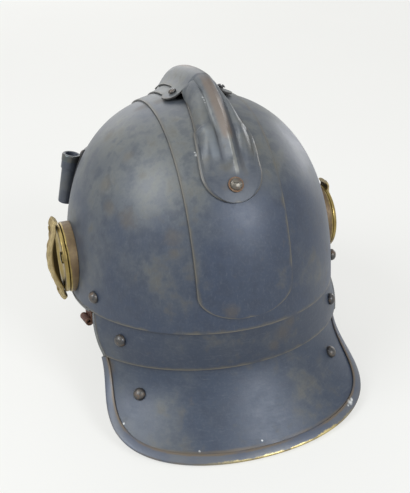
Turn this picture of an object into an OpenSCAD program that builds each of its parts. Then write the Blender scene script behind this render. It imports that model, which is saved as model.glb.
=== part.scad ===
// Cavalry helmet with a fluted crest, a crown strip, a two-lame neck guard,
// a peak, a plume socket, brass ear bosses and a leather liner.
// The helmet is modelled with z = 0 at the skull's lower edge, the rear towards +Y
// and the wearer's left towards +X. The last step leans it onto its two rims.

/* [Skull] */
// Half the outside width of the skull
skull_half_width = 92; // [84:0.5:100]
// Half the outside length of the skull
skull_half_length = 104; // [96:0.5:114]
// Height of the dome above its widest line
dome_rise = 122.5; // [105:0.5:135]
// Squareness of the dome, where 2 is an ellipsoid
dome_power = 2.4; // [2.2:0.05:2.7]
// Height of the widest line above the lower edge
widest_line = 3.5; // [1:0.5:8]
// Sheet thickness of the skull
skull_wall = 1.2; // [0.8:0.1:1.6]

/* [Crown strip] */
// Half the width of the strip that runs over the crown
strip_half_width = 30.2; // [26:0.2:34]
// Height of the strip's two rounded ends above the skull's edge
strip_end_height = 8.5; // [4:0.5:20]
// Depth of the rounding at each end of the strip
strip_end_round = 17; // [10:1:24]
// Sheet thickness of the strip
strip_wall = 1; // [0.8:0.1:1.4]

/* [Crest] */
// Half the width of the comb's foot at the crown
comb_half_width = 20.5; // [18:0.5:23]
// Height of the comb above its foot
comb_height = 13.5; // [11:0.5:16]
// Share of the foot's width at which the comb is half as high
comb_waist = 0.45; // [0.4:0.01:0.54]
// Half the width of the comb's front end
comb_nose_half_width = 11; // [8:0.5:13]
// Height on the brow at which the comb ends
comb_nose_height = 66; // [56:1:80]
// Sheet thickness of the comb and the tail
crest_wall = 1; // [0.8:0.1:1.3]
// Half the width of the tail's tongue
tongue_half_width = 18.6; // [16:0.2:22]
// Half the width of the tail's neck
neck_half_width = 11.6; // [10.8:0.2:12.4]
// How far the old crest leans towards the wearer's right
crest_sway = 2; // [0:0.2:2.4]
// Height of the tongue's tip above the skull's edge
tongue_tip_height = 75; // [68:0.5:80]
// Height of the tail screw above the tongue's tip
tail_screw_rise = 9; // [8:0.5:12]
// Radius of the round ears at the tail's upper end
ear_lobe_radius = 7.2; // [6.6:0.2:8]
// Distance of each ear's centre from the mid plane
ear_side = 16.2; // [15:0.2:17]
// Distance of the ears' centres behind the crown
ear_back = 15; // [13:0.5:17]

/* [Neck guard] */
// Visible depth of the upper lame
band_depth = 26.3; // [20:0.1:32]
// How far the upper lame spreads at the sides
band_spread = 6.6; // [5:0.1:9]
// How far the upper lame draws in at the rear
band_draw_in = 2.7; // [1:0.1:4]
// Depth of the lower lame below the upper one
guard_depth = 49.2; // [40:0.2:56]
// How far the lower lame flares at the rear
guard_flare = 28; // [20:0.5:34]
// How far the lower lame flares at its lower corners
guard_side_flare = 62; // [48:1:66]
// Half the angle that the lower lame wraps around
guard_half_angle = 59; // [54:0.5:62]
// Sheet thickness of the lames
lame_wall = 1; // [0.8:0.1:1.2]
// Running clearance between lapping lames
lame_clear = 0.6; // [0.5:0.05:0.8]
// Lap of each lame under the one above, at the rear
lame_lap = 9; // [8:0.5:12]

/* [Peak] */
// Drop of the peak's tip below the skull's edge
peak_drop = 42; // [34:1:50]
// How far the peak reaches out in front
peak_reach = 45; // [35:1:55]
// Half the angle that the peak wraps around
peak_half_angle = 64; // [58:1:68]
// Sheet thickness of the peak
peak_wall = 1.2; // [0.8:0.1:1.6]

/* [Edge binding] */
// Width of the binding on the sheet
binding_width = 5.5; // [4:0.25:7]
// Sheet thickness of the binding
binding_wall = 0.8; // [0.6:0.1:1]

/* [Rivets] */
// Radius of the domed rivet heads
rivet_head_radius = 4; // [3:0.25:4.5]
// Height of the domed rivet heads
rivet_head_height = 3.5; // [2.5:0.25:4]
// Radius of the rivet shanks
rivet_shank_radius = 2; // [1.5:0.1:2.4]

/* [Plume socket] */
// Outside radius of the socket tube
socket_radius = 5.7; // [5.5:0.1:6.4]
// Radius of the socket's bore
socket_bore_radius = 4.4; // [3.8:0.1:4.6]
// Length of the socket
socket_length = 37; // [32:1:42]
// Height of the socket's foot above the skull's edge
socket_foot_height = 49.5; // [48:0.5:53]
// How far round from the rear the socket stands
socket_turn = 117; // [115:0.5:124]
// Inward lean of the socket
socket_lean = 15; // [13:0.5:16]

/* [Ear bosses] */
// Radius of the ear boss
boss_radius = 23.8; // [22:0.2:24.2]
// Height of the boss centre above the skull's edge
boss_height = 26.8; // [26.4:0.2:28]
// Distance of the boss centre behind the widest section
boss_back = 4; // [1:0.5:7]
// Thickness of the boss ring at its centre
boss_ring_thickness = 3.6; // [3.4:0.1:4.2]
// Height of the wearer's left leather loop above its boss
loop_height = 4.9; // [4.5:0.1:9]
// Height of the other leather loop, which lies almost flat
flat_loop_height = 1; // [0.8:0.1:2]
// Width of the leather loop
loop_width = 13; // [8:1:20]
// Thickness of the leather loop
loop_thickness = 3.7; // [2:0.1:4]

/* [Liner] */
// Space between the skull and the sweatband
liner_space = 7; // [6:0.5:9]
// Height of the leather sweatband
sweatband_height = 34; // [28:1:40]
// Thickness of the liner leather
leather_thickness = 1.8; // [1.4:0.1:2.2]
// Number of leather tongues in the crown
tongue_count = 8; // [6:1:10]
// Radius of the lace that draws the tongues together
lace_radius = 1.5; // [1.2:0.1:2]

/* [Hidden] */

// Gap between plates and pads that lie on each other
seat = 0.3;
// Radial gap of a fixed shank in its hole
hole_clear = 0.1;
// Radial gap of a pivot rivet in the lame that moves
pivot_clear = 0.5;
steel = [0.42, 0.46, 0.53];
dark_steel = [0.32, 0.36, 0.43];
iron = [0.36, 0.35, 0.34];
brass = [0.62, 0.5, 0.27];
buff = [0.64, 0.56, 0.4];
brown = [0.34, 0.2, 0.13];
felt = [0.5, 0.47, 0.42];
$fn = 48;

// General helpers
function flat(rows) = [for (r = rows) for (p = r) p];
function unit(v) = v / norm(v);
function mix(a, b, f) = a * (1 - f) + b * f;
function ease(f) = f <= 0 ? 0 : f >= 1 ? 1 : f * f * (3 - 2 * f);
function spow(v, e) = v < 0 ? -pow(-v, e) : pow(v, e);
function clamp(f) = min(1, max(0, f));

// A curved sheet is a function of an angle and a height. These give its normal, a point
// moved along the normal, and a point that lies a distance in from an edge e(s) of it.
function normal_at(f, a, z) = unit(cross(f(a - 0.5, z) - f(a + 0.5, z),
    f(a, z + 0.5) - f(a, z - 0.5)));
function moved(f, a, z, off) = off == 0 ? f(a, z) : f(a, z) + normal_at(f, a, z) * off;
function edge_point(f, e, s, in, off) = let (
    c = e(s),
    d = e(s + 0.5) - e(s - 0.5),
    fa = f(c.x + 0.5, c.y) - f(c.x - 0.5, c.y),
    fz = f(c.x, c.y + 0.5) - f(c.x, c.y - 0.5),
    b = cross(unit(fa * d.x + fz * d.y), normal_at(f, c.x, c.y)),
    g = fa * fa * (fz * fz) - pow(fa * fz, 2),
    u = (b * fa * (fz * fz) - b * fz * (fa * fz)) / g,
    v = (b * fz * (fa * fa) - b * fa * (fa * fz)) / g)
    moved(f, c.x + u * in, c.y + v * in, off);

// Faces of a sheet: the outer rows, then the inner rows, then the walls along the edges.
// Columns run so that columns x rows points outward. A wrapped sheet closes on itself
// and a capped one ends in a single outer and a single inner point.
function sheet_faces(rows, cols, wrap, cap) =
    let (n = rows * cols, last = wrap ? cols : cols - 1)
    concat(
        [for (i = [0:rows - 2], j = [0:last - 1]) let (k = (j + 1) % cols)
            each [[i * cols + j, (i + 1) * cols + k, i * cols + k],
                [i * cols + j, (i + 1) * cols + j, (i + 1) * cols + k],
                [n + i * cols + j, n + i * cols + k, n + (i + 1) * cols + k],
                [n + i * cols + j, n + (i + 1) * cols + k, n + (i + 1) * cols + j]]],
        [for (j = [0:last - 1]) let (k = (j + 1) % cols)
            each [[j, k, n + k], [j, n + k, n + j]]],
        cap ? [for (j = [0:last - 1]) let (k = (j + 1) % cols, b = (rows - 1) * cols)
            each [[b + j, 2 * n, b + k], [n + b + j, n + b + k, 2 * n + 1]]]
        : [for (j = [0:last - 1]) let (k = (j + 1) % cols, b = (rows - 1) * cols)
            each [[b + k, b + j, n + b + k], [b + j, n + b + j, n + b + k]]],
        wrap ? [] : [for (i = [0:rows - 2]) let (a = i * cols, b = (i + 1) * cols, e = cols - 1)
            each [[a, n + a, n + b], [a, n + b, b],
                [a + e, n + b + e, n + a + e], [a + e, b + e, n + b + e]]]);

module sheet(outer, inner, wrap = false, tips = []) {
    polyhedron(points = concat(flat(outer), flat(inner), tips),
        faces = sheet_faces(len(outer), len(outer[0]), wrap, len(tips) > 0));
}

// A solid carried along rings of points, with flat ends
module sweep(rings) {
    n = len(rings[0]);
    m = len(rings);
    polyhedron(points = flat(rings), faces = concat(
        [[for (j = [0:n - 1]) j], [for (j = [n - 1:-1:0]) (m - 1) * n + j]],
        [for (i = [0:m - 2], j = [0:n - 1]) let (k = (j + 1) % n)
            each [[i * n + j, (i + 1) * n + k, i * n + k],
                [i * n + j, (i + 1) * n + j, (i + 1) * n + k]]]));
}

// Puts children at a point with their z axis along a direction
module place(at, dir) {
    d = unit(dir);
    translate(at) rotate([0, acos(d.z), atan2(d.y, d.x)]) children();
}

// The skull's shape: h is the height above the widest line as a share of the rise
function dome_r(h) = h <= 0 ? 1 : h >= 1 ? 0 : pow(1 - pow(h, dome_power), 1 / dome_power);

// Point on the skull moved outward by off, at angle a from the rear towards +X
function skull_point(a, z, off = 0) = let (r = dome_r((z - widest_line) / (dome_rise + off)))
    [(skull_half_width + off) * r * sin(a), (skull_half_length + off) * r * cos(a), z];

function skull_normal(p) = let (h = max(0, p.z - widest_line) / dome_rise,
    r = norm([p.x / skull_half_width, p.y / skull_half_length]),
    k = pow(max(r, 0.001), dome_power - 2))
    unit([k * p.x / pow(skull_half_width, 2), k * p.y / pow(skull_half_length, 2),
        pow(h, dome_power - 1) / dome_rise]);

// Crest coordinates: t is the angle along the mid plane, 0 at the crown and 90 at the
// rear of the widest line, x is across, and off is the height above the skull
function mid_point(t) = [0, skull_half_length * spow(sin(t), 2 / dome_power),
    widest_line + dome_rise * pow(cos(t), 2 / dome_power)];
function mid_normal(t) = skull_normal(mid_point(abs(t) < 0.01 ? 0.01 : t));
function inside(p) = let (h = max(0, p.z - widest_line) / dome_rise)
    pow(norm([p.x / skull_half_width, p.y / skull_half_length]), dome_power)
    + pow(h, dome_power) < 1;
function drop(t, x, lo = 0, hi = 40, n = 16) = n == 0 ? (lo + hi) / 2
    : let (m = (lo + hi) / 2, p = mid_point(t) + [x, 0, 0] - mid_normal(t) * m)
    inside(p) ? drop(t, x, lo, m, n - 1) : drop(t, x, m, hi, n - 1);
function crest_point(t, x, off) =
    mid_point(t) + [x, 0, 0] + mid_normal(t) * (off - drop(t, x));
// Angle along the mid plane of the rear point at height z
function mid_angle(z) = acos(pow((z - widest_line) / dome_rise, dome_power / 2));

// The lower edge of the skull stands at z = 0
skull_cols = 48;
skull_rows = 14;
function skull_shell_rows(off) = concat(
    [[for (j = [0:skull_cols - 1]) skull_point(-j * 360 / skull_cols, 0, off)]],
    [for (i = [0:skull_rows - 1]) let (t = 90 * i / skull_rows,
        z = widest_line + (dome_rise + off) * pow(sin(t), 2 / dome_power),
        r = pow(cos(t), 2 / dome_power))
        [for (j = [0:skull_cols - 1]) let (a = -j * 360 / skull_cols)
            [(skull_half_width + off) * r * sin(a), (skull_half_length + off) * r * cos(a), z]]]);
crown_z = widest_line + dome_rise;

module skull_shell() {
    sheet(skull_shell_rows(0), skull_shell_rows(-skull_wall), wrap = true,
        tips = [[0, 0, crown_z], [0, 0, crown_z - skull_wall]]);
}

// A square grid laid over a round-cornered oval, so that no row shrinks to a point
function oval(u, v, power) = [spow(u * sqrt(1 - v * v / 2), 2 / power),
    spow(v * sqrt(1 - u * u / 2), 2 / power)];

// A folded strip around the edge e(s) of a sheet f: two legs of width w, seated a gap off
// both sides of the sheet, and a nose between them
module edge_strip(f, e, end, steps, w, wall) {
    nose = -seat - binding_wall;
    back = -wall - seat;
    sweep([for (i = [0:steps]) let (s = mix(end, -end, i / steps))
        [edge_point(f, e, s, w, seat), edge_point(f, e, s, w, seat + binding_wall),
            edge_point(f, e, s, -seat, seat + binding_wall), edge_point(f, e, s, nose, -wall / 2),
            edge_point(f, e, s, -seat, back - binding_wall),
            edge_point(f, e, s, w, back - binding_wall), edge_point(f, e, s, w, back),
            edge_point(f, e, s, -seat, back), edge_point(f, e, s, -seat, seat)]]);
}

// Rivets: a domed head, a shank and a flat burr inside, along +z out of the surface
module rivet(grip, head_r = rivet_head_radius, head_h = rivet_head_height,
        shank_r = rivet_shank_radius) {
    burr_r = shank_r + 1.4;
    burr_t = 1;
    rotate_extrude() polygon(concat(
        [[0, -grip - burr_t], [burr_r, -grip - burr_t], [burr_r, -grip], [shank_r, -grip],
            [shank_r, 0], [head_r, 0], [head_r, 0.4]],
        [for (a = [10:10:80]) [head_r * cos(a), 0.4 + (head_h - 0.4) * sin(a)]],
        [[0, head_h]]));
}

module drill(at, dir, r, deep = 9) {
    place(at, dir) translate([0, 0, -deep]) cylinder(r = r, h = 2 * deep);
}

// A round-headed screw with a slot across its head
module slotted_screw(grip, head_r, head_h, shank_r) {
    difference() {
        rotate_extrude() polygon(concat(
            [[0, -grip], [shank_r, -grip], [shank_r, 0], [head_r, 0], [head_r, 0.4]],
            [for (a = [15:15:75]) [head_r * cos(a), 0.4 + (head_h - 0.4) * sin(a)]],
            [[0, head_h]]));
        translate([-head_r - 1, -0.45, head_h - 1]) cube([2 * head_r + 2, 0.9, 2]);
    }
}

// Where things are fixed on the skull
band_pivot_angle = 64.1;
band_pivot_height = 12.3;
band_pivot = skull_point(band_pivot_angle, band_pivot_height);
guard_pivot_angle = 50;
guard_pivot_height = -11.1;
strap_rivet_angle = 41.5;
strap_rivet_height = -43.9;
peak_rivet_angles = [-152, -124];
peak_rivet_height = 5;

function mirrored(p) = [-p.x, p.y, p.z];

// Crown strip
strip_low = seat;
strip_top = strip_low + strip_wall;
strip_cols = 8;
strip_rows = 30;
strip_end_angle = mid_angle(strip_end_height);
strip_round_angle = mid_angle(strip_end_height + strip_end_round);
function strip_half(t) = let (f = max(0, (abs(t) - strip_round_angle)
    / (strip_end_angle - strip_round_angle)))
    strip_half_width * pow(max(0, 1 - pow(f, 2.3)), 1 / 2.3);
// Rows crowd towards the two rounded ends
function strip_t(i) = let (u = 1 - 2 * i / strip_rows)
    u < 0 ? -strip_t_side(-u) : strip_t_side(u);
function strip_t_side(u) = u > 0.76
    ? mix(strip_round_angle, strip_end_angle * 0.999, sin(90 * (u - 0.76) / 0.24))
    : strip_round_angle * u / 0.76;
function strip_row(t, off) = [for (j = [0:strip_cols])
    crest_point(t, strip_half(t) * (1 - 2 * j / strip_cols), off)];

module strip_sheet() {
    sheet([for (i = [0:strip_rows]) strip_row(strip_t(i), strip_top)],
        [for (i = [0:strip_rows]) strip_row(strip_t(i), strip_low)]);
}

// Angle along the mid plane of the point at distance y behind the crown
function y_angle(y) = let (t = asin(pow(abs(y) / skull_half_length, dome_power / 2)))
    y < 0 ? -t : t;

// Sections of the crest are lists of [x, height]; their inner side is a wall further in
function section_normal(s, i) = let (a = s[max(0, i - 1)], b = s[min(len(s) - 1, i + 1)],
    d = unit(b - a)) [d.y, -d.x];
function thicken(s, wall) = [for (i = [0:len(s) - 1]) s[i] - section_normal(s, i) * wall];
function both_sides(s) = concat(s, [for (i = [len(s) - 2:-1:0]) [-s[i].x, s[i].y]]);

// Comb: a bell-shaped sheet from the nose on the brow over the crown, under the tail's ears
comb_seat = strip_top + seat;
comb_nose_angle = -mid_angle(comb_nose_height);
comb_end_angle = y_angle(ear_back + 3);
comb_rows = 14;
comb_shares = [1, 0.93, 0.82, 0.7, 0.58, 0.46, 0.32, 0.16, 0];
function comb_t(i) = mix(comb_nose_angle, comb_end_angle, 1 - pow(1 - i / comb_rows, 1.25));
function comb_swell(t) = sin(90 * clamp((t - comb_nose_angle) / -comb_nose_angle));
function comb_edge(t) = mix(comb_nose_half_width, comb_half_width, pow(comb_swell(t), 0.8))
    * sqrt(min(1, 0.25 + max(0, t - comb_nose_angle) / 5));
function comb_rise(t) = max(1, comb_height * pow(comb_swell(t), 1.4));
function bell(share) = 1 / (1 + pow(abs(share) / comb_waist, 3));
function comb_profile(t, x) = comb_rise(t) * (bell(x / comb_edge(t)) - bell(1)) / (1 - bell(1));
function comb_section(t) = both_sides([for (f = comb_shares)
    [comb_edge(t) * f, comb_profile(t, comb_edge(t) * f)]]);
function comb_sway(t) = crest_sway * comb_swell(t);
function lay(t, s) = [for (p = s)
    crest_point(t, p.x - comb_sway(t), comb_seat + crest_wall + p.y)];

module comb_sheet() {
    ts = [for (i = [comb_rows:-1:0]) comb_t(i)];
    sheet([for (t = ts) lay(t, comb_section(t))],
        [for (t = ts) lay(t, thicken(comb_section(t), crest_wall))]);
}

// Tail: a hood with two round ears over the comb's end, a neck, and a fluted tongue. Each
// row lists [x, height, y]: the hood's rows fan out around the ears' rims.
hood_front = -42;
hood_half = 13;
neck_start = 25.5;
tail_tip = mid_angle(tongue_tip_height);
neck_angle = y_angle(neck_start);
ridge_half = 6.4;
ridge_turns = [30, 60, 90];
function ridge_xs(w) = [for (a = ridge_turns) w * cos(a)];
function hood_x(y) = y < ear_back - 0.92 * ear_lobe_radius ? hood_half
    : ear_side + sqrt(max(0, pow(ear_lobe_radius, 2) - pow(y - ear_back, 2)));
// A row of the hood from its end e, as [x, y], to its middle at distance m, at angle t
function hood_row(e, m, t) = let (
    xs = concat([for (j = [0:5]) mix(e.x, ridge_half, j / 5)], ridge_xs(ridge_half)))
    [for (x = xs) [x, comb_profile(min(0, t), x),
        mix(m, e.y, pow(clamp((x - ridge_half) / (e.x - ridge_half)), 1.5))]];
hood_rows = concat(
    [for (y = [hood_front, -30, -16, -4, 5, ear_back - 0.88 * ear_lobe_radius,
            ear_back - 0.5 * ear_lobe_radius, ear_back])
        hood_row([hood_x(y), y], y, y_angle(y))],
    [for (k = [1:4]) let (a = 31 * k)
        hood_row([ear_side + ear_lobe_radius * cos(a), ear_back + ear_lobe_radius * sin(a)],
            mix(ear_back, neck_start - 1.8, k / 4), 0)]);

// Sideways lean of the tail, of its ridge and of its outline
function tail_sway(t) = comb_sway(t) * (1 + 0.5 * ease((t - comb_end_angle) / 16))
    * (1 - 0.5 * ease((t - 28) / 20)) * (1 - ease((t - 44) / 14));
function edge_sway(t) = comb_sway(t) * mix(1, 0.8, ease((t - comb_end_angle) / 9))
    * (1 - ease((t - 34) / 14));
// Half width of the tail's outline behind the ears, with a step at the tongue's shoulders
shoulder = 31;
tongue_widest = 48;
function tail_half(t) = t < shoulder
    ? mix(neck_half_width, neck_half_width + 4.6, (t - neck_angle) / (shoulder - neck_angle))
    : t < tongue_widest ? mix(neck_half_width + 4.6, tongue_half_width,
        sin(90 * pow((t - shoulder) / (tongue_widest - shoulder), 0.42)))
    : tongue_half_width * pow(max(0, 1 - pow((t - tongue_widest)
        / (tail_tip - tongue_widest), 2.1)), 1 / 2.1);
// The flutes: a middle ridge of half width r and height h, which sharpens to a fin towards its
// end, and a lobe on each side
flute_end = 45;
function fade(t) = ease((flute_end + 3 - t) / 8);
function flute_r(t) = mix(ridge_half, 5.6, clamp((t - neck_angle) / (flute_end - neck_angle)));
function flute_h(t) = fade(t) * mix(comb_height, 2.6, ease((t - 6) / 44));
function crease_h(t) = flute_h(t) * mix(0.8, 0.3, ease((t - 6) / 40));
function lobe_h(t) = fade(t) * min(2.8, 0.24 * (tail_half(t) - flute_r(t)))
    * clamp((t - neck_angle) / 12);
function flange(t) = mix(0.7, 2.6, ease((t - shoulder) / 3));
function tail_row(t) = let (e = tail_half(t), r = min(flute_r(t), e * 0.4),
    f = e - min(flange(t), e * 0.15), y = mid_point(t).y)
    concat([[e, 0, y], [f, 0.02, y]],
        [for (u = [0.12, 0.4, 0.72, 1]) [mix(f, r, u),
            crease_h(t) * pow(sin(90 * u), 0.8) + lobe_h(t) * sin(180 * u), y]],
        [for (a = ridge_turns) [r * cos(a), mix(crease_h(t), flute_h(t),
            mix(sin(a), pow(1 - cos(a), 1.3), ease((t - 11) / 17))), y]]);
tail_angles = concat([neck_angle, neck_angle + 2], [15, 18.5, 22.5, 26.5, shoulder - 0.6,
    shoulder + 0.6, 33.5, 36.5, 40, 43.5, 46.5, 49.5, 52],
    [for (i = [1:5]) mix(52, tail_tip * 0.9985, sin(90 * i / 5))]);
tail_half_rows = concat(hood_rows, [for (t = tail_angles) tail_row(t)]);

// Both halves of a row, a distance inside the tail's outer side. The hood's rows are lifted
// over the comb, and the lift fades out along the neck.
function tail_line(row, wall) = let (
    half = [for (p = row) [p.x, p.y]],
    s = both_sides(half),
    ys = concat([for (p = row) p.z], [for (i = [len(row) - 2:-1:0]) row[i].z]),
    lift = (crest_wall + seat) * (1 - ease((y_angle(row[0].z) - neck_angle) / 7)),
    q = thicken(s, wall - lift))
    [for (i = [0:len(q) - 1]) let (t = y_angle(ys[i]), u = clamp((abs(q[i].x) - ridge_half) / 5))
        crest_point(t, q[i].x - mix(tail_sway(t), edge_sway(t), u),
            comb_seat + crest_wall + q[i].y)];

module tail_sheet() {
    n = len(tail_half_rows) - 1;
    sheet([for (i = [n:-1:0]) tail_line(tail_half_rows[i], 0)],
        [for (i = [n:-1:0]) tail_line(tail_half_rows[i], crest_wall)]);
}

tail_screw_angle = mid_angle(tongue_tip_height + tail_screw_rise);
tail_screw_at = crest_point(tail_screw_angle, 0, comb_seat + crest_wall);
tail_screw_dir = mid_normal(tail_screw_angle);
nose_screw_angle = comb_nose_angle + 5;
nose_screw_at = crest_point(nose_screw_angle, 0, comb_seat + crest_wall);
nose_screw_dir = mid_normal(nose_screw_angle);
// Each ear is screwed through its own centre, square to the sheet
ear_angle = y_angle(ear_back);
ear_slope = comb_profile(0, ear_side + 0.5) - comb_profile(0, ear_side - 0.5);
ear_screw_at = crest_point(ear_angle, ear_side - crest_sway,
    comb_seat + 2 * crest_wall + seat + comb_profile(0, ear_side));
ear_screw_dir = unit([-ear_slope, 0, 1]);
right_ear_screw_at = ear_screw_at - [2 * ear_side, 0, 0];
crest_screw_radius = 1.6;

module crest_drills(r) {
    drill(tail_screw_at, tail_screw_dir, r);
    drill(nose_screw_at, nose_screw_dir, r);
}

module ear_drills(r) {
    drill(ear_screw_at, ear_screw_dir, r, deep = 5);
    drill(right_ear_screw_at, mirrored(ear_screw_dir), r, deep = 5);
}

// Lames of the neck guard: outer surfaces at angle a and height z
spread_start = 2;
guard_side_in = 1.4;
lame_step = lame_wall + lame_clear;
function band_share(z) = max(0, -z - spread_start) / (band_depth - spread_start);
function band_point(a, z) = let (q = -skull_wall - lame_clear,
    r = dome_r((z - widest_line) / (dome_rise + q)),
    w = band_spread * pow(sin(90 * min(1, band_share(z))), 0.9))
    [(skull_half_width + q + w) * r * sin(a),
        (skull_half_length + q - band_draw_in * band_share(z)) * r * cos(a), z];
band_sheet_at = function(a, z) band_point(a, z);
// The lower lame starts inside the upper one and flares below it
function guard_point(a, z) = let (t = max(0, -z - band_depth) / 50,
    p = moved(band_sheet_at, a, max(z, -band_depth), -lame_step))
    p + [(guard_side_flare * pow(t, 2.3) - guard_side_in) * sin(a),
        guard_flare * pow(t, 1.39) * cos(a), min(0, z + band_depth)];
guard_sheet_at = function(a, z) guard_point(a, z);

guard_pivot = band_point(guard_pivot_angle, guard_pivot_height);
guard_pivot_dir = normal_at(band_sheet_at, guard_pivot_angle, guard_pivot_height);
strap_rivet_at = guard_point(strap_rivet_angle, strap_rivet_height);
strap_rivet_dir = normal_at(guard_sheet_at, strap_rivet_angle, strap_rivet_height);

// The lap rises beside the pivots so that the rivets pass through both lames
function lap_top(a, pivot_angle, pivot_height, edge) =
    mix(lame_lap, pivot_height + 7, ease((abs(a) - (pivot_angle - 16)) / 9)) + edge;

band_cols = 26;
band_edge_top = 68;
function band_edge(z) = mix(band_edge_top, guard_half_angle, min(1, max(0, -z / band_depth)));
band_levels = [0, 0.25, 0.55, 0.85, 1];
function band_rows(off) = concat(
    [for (f = band_levels) let (z = mix(-band_depth, -spread_start, f))
        [for (j = [0:band_cols])
            moved(band_sheet_at, band_edge(z) * (1 - 2 * j / band_cols), z, off)]],
    [for (f = [0.15, 0.6, 1]) [for (j = [0:band_cols])
        let (a = band_edge_top * (1 - 2 * j / band_cols),
            top = lap_top(a, band_pivot_angle, band_pivot_height, 0))
        moved(band_sheet_at, a, mix(-spread_start, top, f), off)]]);

module band_sheet() {
    sheet(band_rows(0), band_rows(-lame_wall));
}

// The lower lame's outline is a round-cornered oval in angle and depth
guard_cols = 30;
guard_rows_low = 9;
guard_power = 2.2;
function guard_rows(off) = concat(
    [for (i = [guard_rows_low:-1:0]) [for (j = [0:guard_cols])
        let (p = oval(1 - 2 * j / guard_cols, i / guard_rows_low, guard_power))
        moved(guard_sheet_at, guard_half_angle * p.x, -band_depth - guard_depth * p.y, off)]],
    [for (f = [0.5, 1]) [for (j = [0:guard_cols])
        let (a = guard_half_angle * oval(1 - 2 * j / guard_cols, 0, guard_power).x,
            top = lap_top(a, guard_pivot_angle, guard_pivot_height + band_depth, -band_depth))
        moved(guard_sheet_at, a, mix(-band_depth, top, f), off)]]);

module guard_sheet() {
    sheet(guard_rows(0), guard_rows(-lame_wall));
}

// Outline of the lower lame by the turn s, 0 at the rear and 90 at its upper ends
guard_edge = function(s) [guard_half_angle * spow(sin(s), 2 / guard_power),
    -band_depth - guard_depth * pow(max(0.0001, cos(s)), 2 / guard_power)];
guard_binding_end = 86;
guard_binding_steps = 42;

// Peak, in the same way, from the front
peak_power = 2.3;
peak_cols = 28;
peak_rows_low = 6;
peak_lap = 9;
function peak_point(a, z) = let (t = max(0, -z) / peak_drop,
    q = -skull_wall - lame_clear, r = dome_r((z - widest_line) / (dome_rise + q)))
    [(skull_half_width + q + peak_reach * 0.35 * pow(t, 1.6)) * r * sin(a),
        (skull_half_length + q + peak_reach * pow(t, 1.15)) * r * cos(a), z];
peak_sheet_at = function(a, z) peak_point(a, z);
function peak_rows(off) = concat(
    [for (i = [peak_rows_low:-1:0]) [for (j = [0:peak_cols])
        let (p = oval(1 - 2 * j / peak_cols, i / peak_rows_low, peak_power))
        moved(peak_sheet_at, 180 + peak_half_angle * p.x, -peak_drop * p.y, off)]],
    [for (f = [0.5, 1]) [for (j = [0:peak_cols])
        let (a = 180 + peak_half_angle * oval(1 - 2 * j / peak_cols, 0, peak_power).x)
        moved(peak_sheet_at, a, mix(0, peak_lap, f), off)]]);
peak_edge = function(s) [180 + peak_half_angle * spow(sin(s), 2 / peak_power),
    -peak_drop * pow(max(0.0001, cos(s)), 2 / peak_power)];
peak_binding_end = 84;
peak_binding_steps = 30;

module peak_sheet() {
    sheet(peak_rows(0), peak_rows(-peak_wall));
}

// Leaning: the two rims lie on one plane, and the part is centred on its own box
guard_rim = edge_point(guard_sheet_at, guard_edge, 0, -seat, -lame_wall - seat - binding_wall);
peak_rim = edge_point(peak_sheet_at, peak_edge, 0, -seat, -peak_wall - seat - binding_wall);
rest_lean = atan2(peak_rim.z - guard_rim.z, guard_rim.y - peak_rim.y);
function leaned(p) = [p.x, p.y * cos(rest_lean) - p.z * sin(rest_lean),
    p.y * sin(rest_lean) + p.z * cos(rest_lean)];

// The standing loop reaches out further than the flat one
flat_loop_thickness = 0.6 * loop_thickness;
side_shift = (flat_loop_height + flat_loop_thickness - loop_height - loop_thickness) / 2;

module at_rest() {
    low = min(leaned(guard_rim).z, leaned(peak_rim).z);
    mid = (leaned(guard_rim).y + leaned(peak_rim).y) / 2;
    translate([side_shift, -mid, -low]) rotate([rest_lean, 0, 0]) children();
}
echo(lean = rest_lean, side_shift = side_shift, boss_foot = boss_foot, boss_dir = boss_dir,
    socket_foot = socket_foot, socket_dir = socket_dir, lift = -min(leaned(guard_rim).z, leaned(peak_rim).z),
    shift = -(leaned(guard_rim).y + leaned(peak_rim).y) / 2,
    band_pivot = band_pivot, guard_pivot = guard_pivot, guard_rim = guard_rim,
    peak_rim = peak_rim);

// Ear bosses stand square to the skull's side
boss_foot = let (a = acos(boss_back / skull_half_length)) skull_point(a, boss_height);
boss_dir = let (n = skull_normal(boss_foot)) unit([n.x, n.y, 0]);
stud_radius = 3;
module on_boss() {
    place(boss_foot, boss_dir) children();
}
boss_yaw = atan2(boss_dir.y, boss_dir.x);
// Height of the skull's side below the boss plane at radius r and turn b of the boss
function boss_gap(r, b) = let (u = r * cos(b), v = r * sin(b),
    py = boss_foot.y + u * cos(boss_yaw), z = boss_foot.z + v,
    rz = dome_r((z - widest_line) / dome_rise),
    k = max(0, 1 - pow(py / (skull_half_length * rz), 2)),
    px = skull_half_width * rz * sqrt(k))
    (boss_foot.x - px) * cos(boss_yaw) + (boss_foot.y - py) * sin(boss_yaw);

plain_ring = 24;
function ring_point(r, b, h) = boss_foot + boss_dir * h
    + [-sin(boss_yaw), cos(boss_yaw), 0] * r * cos(b) + [0, 0, 1] * r * sin(b);
ring_hole = stud_radius + hole_clear;

boss_recess = 1.2;
module boss_ring_body() {
    rr = boss_radius;
    radii = [rr, rr * 0.93, rr * 0.86, rr * 0.5];
    face = boss_ring_thickness;
    turns = [for (j = [0:plain_ring - 1]) j * 360 / plain_ring];
    difference() {
        sheet([for (r = radii) [for (b = turns)
                ring_point(r, b, r > rr * 0.9 ? face : face - boss_recess)]],
            [for (r = radii) [for (b = turns) ring_point(r, b, seat - boss_gap(r, b))]],
            wrap = true,
            tips = [ring_point(0, 0, face - boss_recess), ring_point(0, 0, seat)]);
        on_boss() translate([0, 0, -1]) cylinder(r = ring_hole, h = 9);
    }
}

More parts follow.
